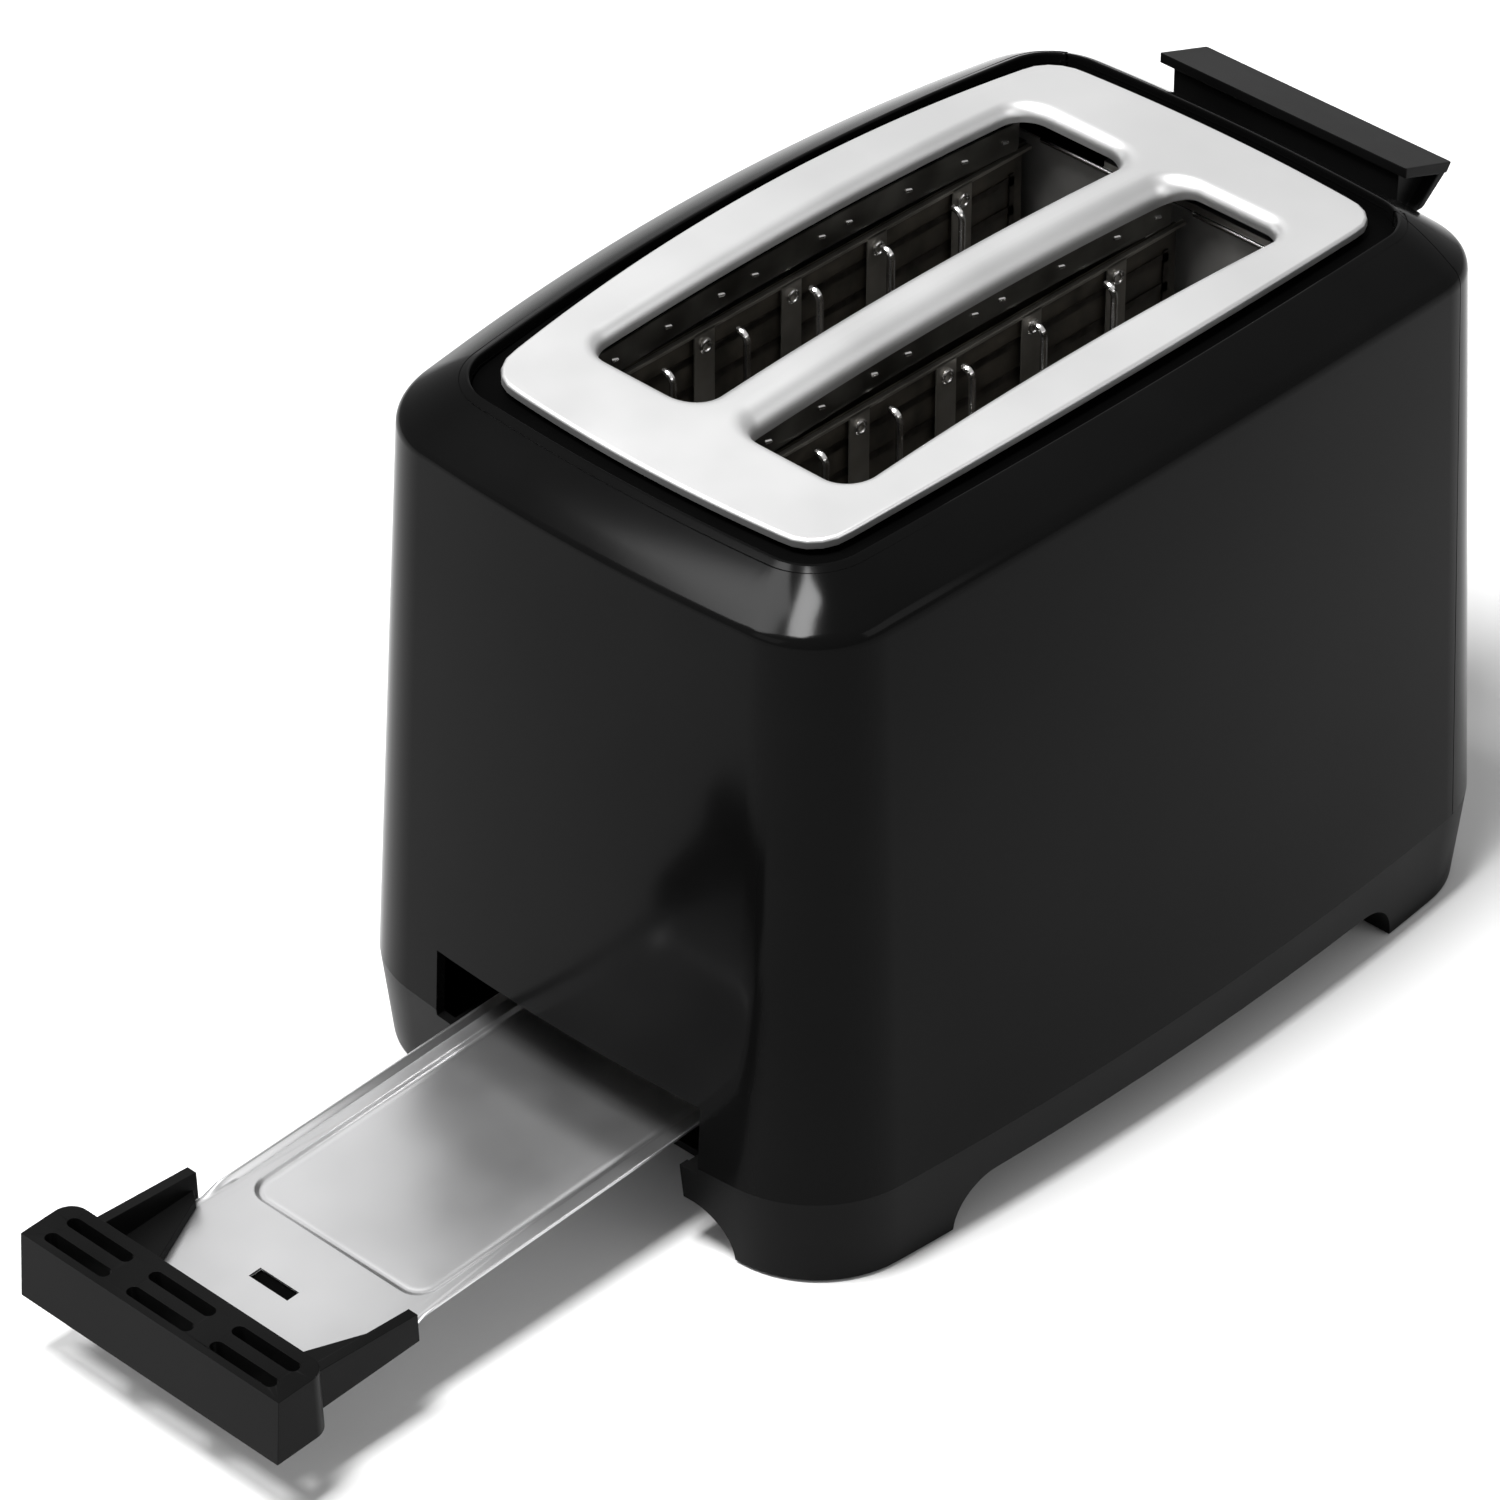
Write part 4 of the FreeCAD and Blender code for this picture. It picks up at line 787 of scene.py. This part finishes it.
EDGE_RADIUS = 0.75
TAB_Y = (10.6, 9.8)          # from the slot's middle towards -Y
TAB_DROPS = (16.0, 8.0)
SLOT_WALLS = {                # name: (y of the guide, y of the board's face, way to the board)
    "left_outer": (SLOT_Y + GUIDE_OFFSET, 43.0, 1),
    "left_inner": (SLOT_Y - GUIDE_OFFSET, 5.0, -1),
    "right_inner": (-SLOT_Y + GUIDE_OFFSET, -5.0, 1),
    "right_outer": (-SLOT_Y - GUIDE_OFFSET, -43.0, -1),
}


def tube(shape, points, radius, sides=10, closed=False):
    """Adds a round bar along a path, with domed ends unless the path closes on itself."""
    path = [Vector(p) for p in points]
    count = len(path)
    rings = []
    across = None
    for index, point in enumerate(path):
        before = path[index - 1] if closed or index else point
        after = path[(index + 1) % count] if closed or index < count - 1 else point
        way = (after - before).normalized()
        if across is None:
            across = way.orthogonal().normalized()
        across = (across - way * across.dot(way)).normalized()
        other = way.cross(across)
        size = radius
        if not closed and index in (0, count - 1):
            size = 0.55 * radius
        rings.append([shape.verts.new(place(*(point + size * (math.cos(a) * across
                                                              + math.sin(a) * other))))
                      for a in (2 * math.pi * k / sides for k in range(sides))])
    spans = list(zip(rings, rings[1:])) + ([(rings[-1], rings[0])] if closed else [])
    for low, high in spans:
        for k in range(sides):
            after = (k + 1) % sides
            shape.faces.new((low[k], low[after], high[after], high[k]))
    if not closed:
        shape.faces.new(rings[0][::-1])
        shape.faces.new(rings[-1])


def slab(shape, low, high):
    """Adds a block between two corners."""
    corners = [shape.verts.new(place(x, y, z)) for x in (low[0], high[0]) for y in (low[1], high[1])
               for z in (low[2], high[2])]
    for face in BOX_FACES:
        shape.faces.new([corners[k] for k in face])


def guide_grid(name, y, way):
    """Bread guide: pivot rod and five wires whose tops hook back towards the board."""
    shape = bmesh.new()
    tube(shape, [(x, y, GUIDE_LOW)
                 for x in (-GUIDE_REACH, 0.6 - GUIDE_REACH, GUIDE_REACH - 0.6, GUIDE_REACH)],
         PIVOT_RADIUS)
    for index in range(-2, 3):
        x = index * GUIDE_PITCH
        path = [(x, y, GUIDE_LOW), (x, y, GUIDE_LOW + 1.0), (x, y, HOOK_Z)]
        for step in range(1, HOOK_STEPS + 1):
            angle = HOOK_TURN * step / HOOK_STEPS
            path.append((x, y + way * HOOK_RADIUS * (1.0 - math.cos(angle)),
                         HOOK_Z + HOOK_RADIUS * math.sin(angle)))
        tube(shape, path, WIRE_RADIUS)
    closed_piece("guide_wires_" + name, shape, CHROME_WIRE, "guide_" + name,
                 ("bread_guide_" + name,))


def heater_ribbons(name, face, way):
    """Flat resistance ribbons wound across the board, stitched together at their ends."""
    shape = bmesh.new()
    back = face - way * RIBBON_GAP
    for z in RIBBON_HEIGHTS:
        slab(shape, (-RIBBON_REACH, back, z - RIBBON_HALF_HEIGHT),
             (RIBBON_REACH, back - way * RIBBON_THICK, z + RIBBON_HALF_HEIGHT))
        rise = STITCH_RISE if z < RIBBON_LAST_LINKED else STITCH_DROP
        for x in (-STITCH_X, STITCH_X):
            slab(shape, (x - STITCH_HALF_WIDTH, back, z - STITCH_DROP),
                 (x + STITCH_HALF_WIDTH, back - way * STITCH_THICK, z + rise))
    closed_piece("ribbons_" + name, shape, HEATER_WIRE, "housing",
                 ("heater_wires_" + name,))


def mica_board(name, face, way):
    shape = bmesh.new()
    slab(shape, (-BOARD_REACH, face, BOARD_LOW_Z),
         (BOARD_REACH, face + way * BOARD_THICK, BOARD_HIGH_Z))
    closed_piece("mica_" + name, shape, MICA, "housing", ("heater_board_" + name,))


def board_straps(name, face, way):
    """Upright straps that press the ribbons flat, between a bottom rail and a top edge."""
    shape = bmesh.new()
    front = face - way * FRAME_DEPTH
    for x in STRAPS:
        slab(shape, (x - STRAP_HALF_WIDTH, front, BOARD_LOW_Z - 2.0),
             (x + STRAP_HALF_WIDTH, front + way * STRAP_THICK, BOARD_HIGH_Z))
    for low, high in ((BOARD_LOW_Z - 4.0, BOARD_LOW_Z), (BOARD_HIGH_Z - 0.8, BOARD_HIGH_Z + 0.2)):
        slab(shape, (-FRAME_REACH, front, low), (FRAME_REACH, face, high))
    stands_for = ["board_frame_" + name]
    if name == "left_outer":
        stands_for.append("frame_rivets")
    closed_piece("straps_" + name, shape, STRAP_STEEL, "housing",
                 tuple(stands_for), bevel=0.2)


def strap_eyelets(name, face, way):
    """Rolled eyelet at the top of each strap."""
    shape = bmesh.new()
    front = face - way * (FRAME_DEPTH + 0.35)
    for x in STRAPS:
        ring = []
        for index in range(14):
            angle = 2 * math.pi * index / 14
            ring.append((x + EYELET_RADIUS * math.cos(angle), front,
                         EYELET_Z + EYELET_RADIUS * math.sin(angle)))
        tube(shape, ring, 0.45, 8, True)
    closed_piece("eyelets_" + name, shape, CHROME_WIRE, "housing")


def slot_guard(name, y, way):
    """Steel strip that hangs from the plate beside a slot and hides the board's top."""
    shape = bmesh.new()
    near = y + way * GUARD_GAP
    xs = [GUARD_REACH * (2.0 * k / GUARD_STEPS - 1.0) for k in range(GUARD_STEPS + 1)]
    profile = [(0.0, GUARD_TOP), (0.0, GUARD_BOTTOM - 2.0), (0.35, GUARD_BOTTOM - 0.6),
               (1.1, GUARD_BOTTOM)]
    rows = [[shape.verts.new(place(x, near + way * out, plate_height(x) - drop)) for x in xs]
            for out, drop in profile]
    for low, high in zip(rows, rows[1:]):
        for k in range(GUARD_STEPS):
            corners = (low[k], low[k + 1], high[k + 1], high[k])
            shape.faces.new(corners if way > 0 else corners[::-1])
    guard = "slot_guard_" + name
    thing = piece(guard, mesh_of(guard, shape), DARK_STEEL, "housing")
    add_thickness(thing, 0.5)
    add_smooth(thing)


def guard_studs(name, y, way):
    """Small bent tabs along the strip beside a slot."""
    shape = bmesh.new()
    near = y + way * GUARD_GAP
    inner, outer = near + way * 0.3, near - way * 0.5
    for x in STUD_X:
        z = plate_height(x) - STUD_DROP
        left, right = x - STUD_HALF_WIDTH, x + STUD_HALF_WIDTH
        tube(shape, [(left, inner, z), (left, outer, z + 0.4), (right, outer, z),
                     (right, inner, z)], 0.55, 8)
    closed_piece("guard_studs_" + name, shape, CHROME_WIRE, "housing")


def end_wall_edges():
    """Rolled bright edge along the top of each chamber end, and a small tab below it."""
    for name, sign in (("lever", 1), ("tray", -1)):
        low, high = local("end_plate_" + name)
        face_x = low.x if sign > 0 else high.x
        reach = SLOT_HALF[1] + 0.5
        shape = bmesh.new()
        for side in (-1, 1):
            tube(shape, [(face_x, side * SLOT_Y + reach * t, high.z + 0.2)
                         for t in (-1.0, -0.97, 0.97, 1.0)], EDGE_RADIUS)
            slab(shape, (face_x - 0.3, side * SLOT_Y - TAB_Y[0], high.z - TAB_DROPS[0]),
                 (face_x + 0.3, side * SLOT_Y - TAB_Y[1], high.z - TAB_DROPS[1]))
        closed_piece("end_edge_" + name, shape, CHROME_WIRE, "housing")


def slot_insides():
    for name, (y, face, way) in SLOT_WALLS.items():
        slot_edge = math.copysign(SLOT_Y, y) + way * SLOT_HALF[1]
        guide_grid(name, y, way)
        mica_board(name, face, way)
        board_straps(name, face, way)
        heater_ribbons(name, face, way)
        strap_eyelets(name, face, way)
        slot_guard(name, slot_edge, way)
        guard_studs(name, slot_edge, way)
    end_wall_edges()


# ---- marks on the control end -------------------------------------------------------------
PRINT_SINK = 0.05
PRINT_PROUD = 0.10
TICKS = 7
TICK_SWEEP = math.radians(270.0)
TICK_GAP = 1.2               # from the dial's rim
TICK_LENGTH = 1.0
TICK_GROWTH = 0.28
TICK_HALF_WIDTH = 0.35
POINTER_SPAN = (3.0, 8.6)
STAR_REACH = 2.2
WARM_BAR = (1.1, 1.8)        # half the space between the bars and half their length
STOP_HALF = 1.5


def face_bar(shape, face_x, start, stop, half_width):
    """Adds a thin printed bar on a face across X, between two (y, z) points."""
    start, stop = Vector(start), Vector(stop)
    way = (stop - start).normalized()
    side = Vector((-way.y, way.x)) * half_width
    flat = (start - side, stop - side, stop + side, start + side)
    low = [shape.verts.new(place(face_x - PRINT_SINK, p.x, p.y)) for p in flat]
    high = [shape.verts.new(place(face_x + PRINT_PROUD, p.x, p.y)) for p in flat]
    shape.faces.new(low[::-1])
    shape.faces.new(high)
    for k in range(4):
        after = (k + 1) % 4
        shape.faces.new((low[k], low[after], high[after], high[k]))


def print_piece(name, shape, body):
    closed_piece(name, shape, WHITE_PLASTIC, body)


def face_middle(node):
    """x of a control's outer face, and the middle of that face as (y, z)."""
    low, high = local(node)
    return high.x, Vector((0.5 * (low.y + high.y), 0.5 * (low.z + high.z)))


def dial_marks():
    """Ticks round the browning dial, longer toward dark, and the knob's pointer."""
    knob_low, knob_high = local("browning_knob")
    knob_face, centre = face_middle("browning_knob")
    start = 0.5 * (knob_high.y - knob_low.y) + TICK_GAP
    shape = bmesh.new()
    for index in range(TICKS):
        angle = 0.5 * math.pi + TICK_SWEEP * (0.5 - index / (TICKS - 1))
        way = Vector((math.cos(angle), math.sin(angle)))
        stop = start + TICK_LENGTH + TICK_GROWTH * index
        face_bar(shape, PANEL_HIGH.x, centre + way * start, centre + way * stop, TICK_HALF_WIDTH)
    print_piece("dial_ticks", shape, "housing")
    shape = bmesh.new()
    low, high = (centre + Vector((0.0, reach)) for reach in POINTER_SPAN)
    face_bar(shape, knob_face, low, high, 0.6)
    print_piece("dial_pointer", shape, "browning_dial")


def key_marks():
    """Generic signs: a frost star, two warming bars and a stop square."""
    face_x, centre = face_middle("defrost_button")
    shape = bmesh.new()
    for index in range(3):
        angle = math.radians(90.0 + 60.0 * index)
        way = STAR_REACH * Vector((math.cos(angle), math.sin(angle)))
        face_bar(shape, face_x + 0.02 * index, centre - way, centre + way, 0.22)
    print_piece("frost_sign", shape, "defrost_key")
    face_x, centre = face_middle("reheat_button")
    shape = bmesh.new()
    for y in (-WARM_BAR[0], WARM_BAR[0]):
        face_bar(shape, face_x, centre + Vector((y, -WARM_BAR[1])),
                 centre + Vector((y, WARM_BAR[1])), 0.3)
    print_piece("warm_sign", shape, "reheat_key")
    face_x, centre = face_middle("stop_button")
    shape = bmesh.new()
    half = Vector((STOP_HALF, 0.0))
    face_bar(shape, face_x, centre - half, centre + half, STOP_HALF)
    print_piece("stop_sign", shape, "stop_key")


# ---- spring -------------------------------------------------------------------------------
def lift_spring():
    """Coil round the guide rod, as long as the spring's CAD box; the real spring shortens as the
    carriage goes down, but this coil keeps one length.
    """
    low, high = local("lift_spring")
    middle_x = 0.5 * (low.x + high.x)
    radius = 0.5 * (high.x - low.x)
    wire, turns, sides, steps = 0.45, 13, 8, 24
    reach = radius - wire
    rows = []
    for index in range(turns * steps + 1):
        angle = 2 * math.pi * index / steps
        z = low.z + wire + (high.z - low.z - 2 * wire) * index / (turns * steps)
        rows.append([(middle_x + (reach + wire * math.cos(a)) * math.cos(angle),
                      (reach + wire * math.cos(a)) * math.sin(angle), z + wire * math.sin(a))
                     for a in (2 * math.pi * k / sides for k in range(sides))])
    shape = loft(rows)
    bmesh.ops.recalc_face_normals(shape, faces=shape.faces)
    mesh = mesh_of("lift_coil", shape)
    thing = piece("lift_coil", mesh, CHROME_WIRE, "housing", ("lift_spring",))
    for polygon in mesh.polygons:
        polygon.use_smooth = True
    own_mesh(thing)


# ---- floor, light and camera --------------------------------------------------------------
WORLD_STRENGTH = 0.55
STUDIO_LIGHTS = (             # name, place, target, size in metres, power in watts
    ("top_box", (-0.68, 0.0, 2.5), (0.0, 0.0, 0.1), (0.5, 0.8), 110.0),
    ("top_haze", (-1.05, 0.95, 2.4), (0.0, 0.0, 0.1), (0.8, 1.1), 60.0),
    ("back_card", (1.5, 1.4, 1.25), (0.0, 0.0, 0.15), (2.2, 1.2), 5.0),
    ("left_box", (-2.2, 0.3, 1.2), (-0.2, 0.0, 0.0), (1.2, 1.2), 6.0),
    ("right_box", (0.6, -2.3, 1.2), (0.1, -0.2, 0.0), (1.2, 1.2), 10.0),
)
SENSOR_WIDTH = 36.0
CAMERA_LENS = 185.44
CAMERA_AZIMUTH = math.radians(-46.14)
CAMERA_ELEVATION = math.radians(35.93)
CAMERA_DISTANCE = 1.7389
CAMERA_TARGET = Vector((-0.01017, -0.00654, 0.09466))


def floor():
    shape = bmesh.new()
    bmesh.ops.create_grid(shape, x_segments=8, y_segments=8, size=6.0)
    mesh = mesh_of("floor", shape)
    thing = bpy.data.objects.new("floor", mesh)
    bpy.context.scene.collection.objects.link(thing)
    mesh.materials.append(surface("floor_paper", grey(0.55), grey(0.57), (0.85, 0.95), patch=3.0,
                                  grain=400.0, depth=0.02, specular=0.05))


def area_light(name, where, target, size, power):
    """Soft rectangular light that looks at a point."""
    data = bpy.data.lights.new(name, "AREA")
    data.shape = "RECTANGLE"
    data.size, data.size_y = size
    data.energy = power
    thing = bpy.data.objects.new(name, data)
    thing.location = where
    thing.rotation_euler = (Vector(target) - Vector(where)).to_track_quat("-Z", "Y").to_euler()
    bpy.context.scene.collection.objects.link(thing)


def lights():
    world = bpy.data.worlds.new("studio")
    world.use_nodes = True
    background = world.node_tree.nodes["Background"]
    background.inputs["Color"].default_value = (1.0, 1.0, 1.0, 1.0)
    background.inputs["Strength"].default_value = WORLD_STRENGTH
    bpy.context.scene.world = world
    for light in STUDIO_LIGHTS:
        area_light(*light)


def camera():
    data = bpy.data.cameras.new("camera")
    data.sensor_width = SENSOR_WIDTH
    data.lens = CAMERA_LENS
    data.clip_end = 20.0
    thing = bpy.data.objects.new("camera", data)
    back = Vector((math.sin(CAMERA_AZIMUTH) * math.cos(CAMERA_ELEVATION),
                   -math.cos(CAMERA_AZIMUTH) * math.cos(CAMERA_ELEVATION),
                   math.sin(CAMERA_ELEVATION)))
    thing.location = CAMERA_TARGET + back * CAMERA_DISTANCE
    thing.rotation_mode = "QUATERNION"
    thing.rotation_quaternion = (-back).to_track_quat("-Z", "Y")
    bpy.context.scene.collection.objects.link(thing)
    bpy.context.scene.camera = thing


outer_shell()
end_cover()
top_plate()
crumb_tray()
slot_shade_box()
dress_cad_nodes()
slot_insides()
dial_marks()
key_marks()
lift_spring()
floor()
lights()
camera()
bpy.context.scene.view_settings.view_transform = "Standard"
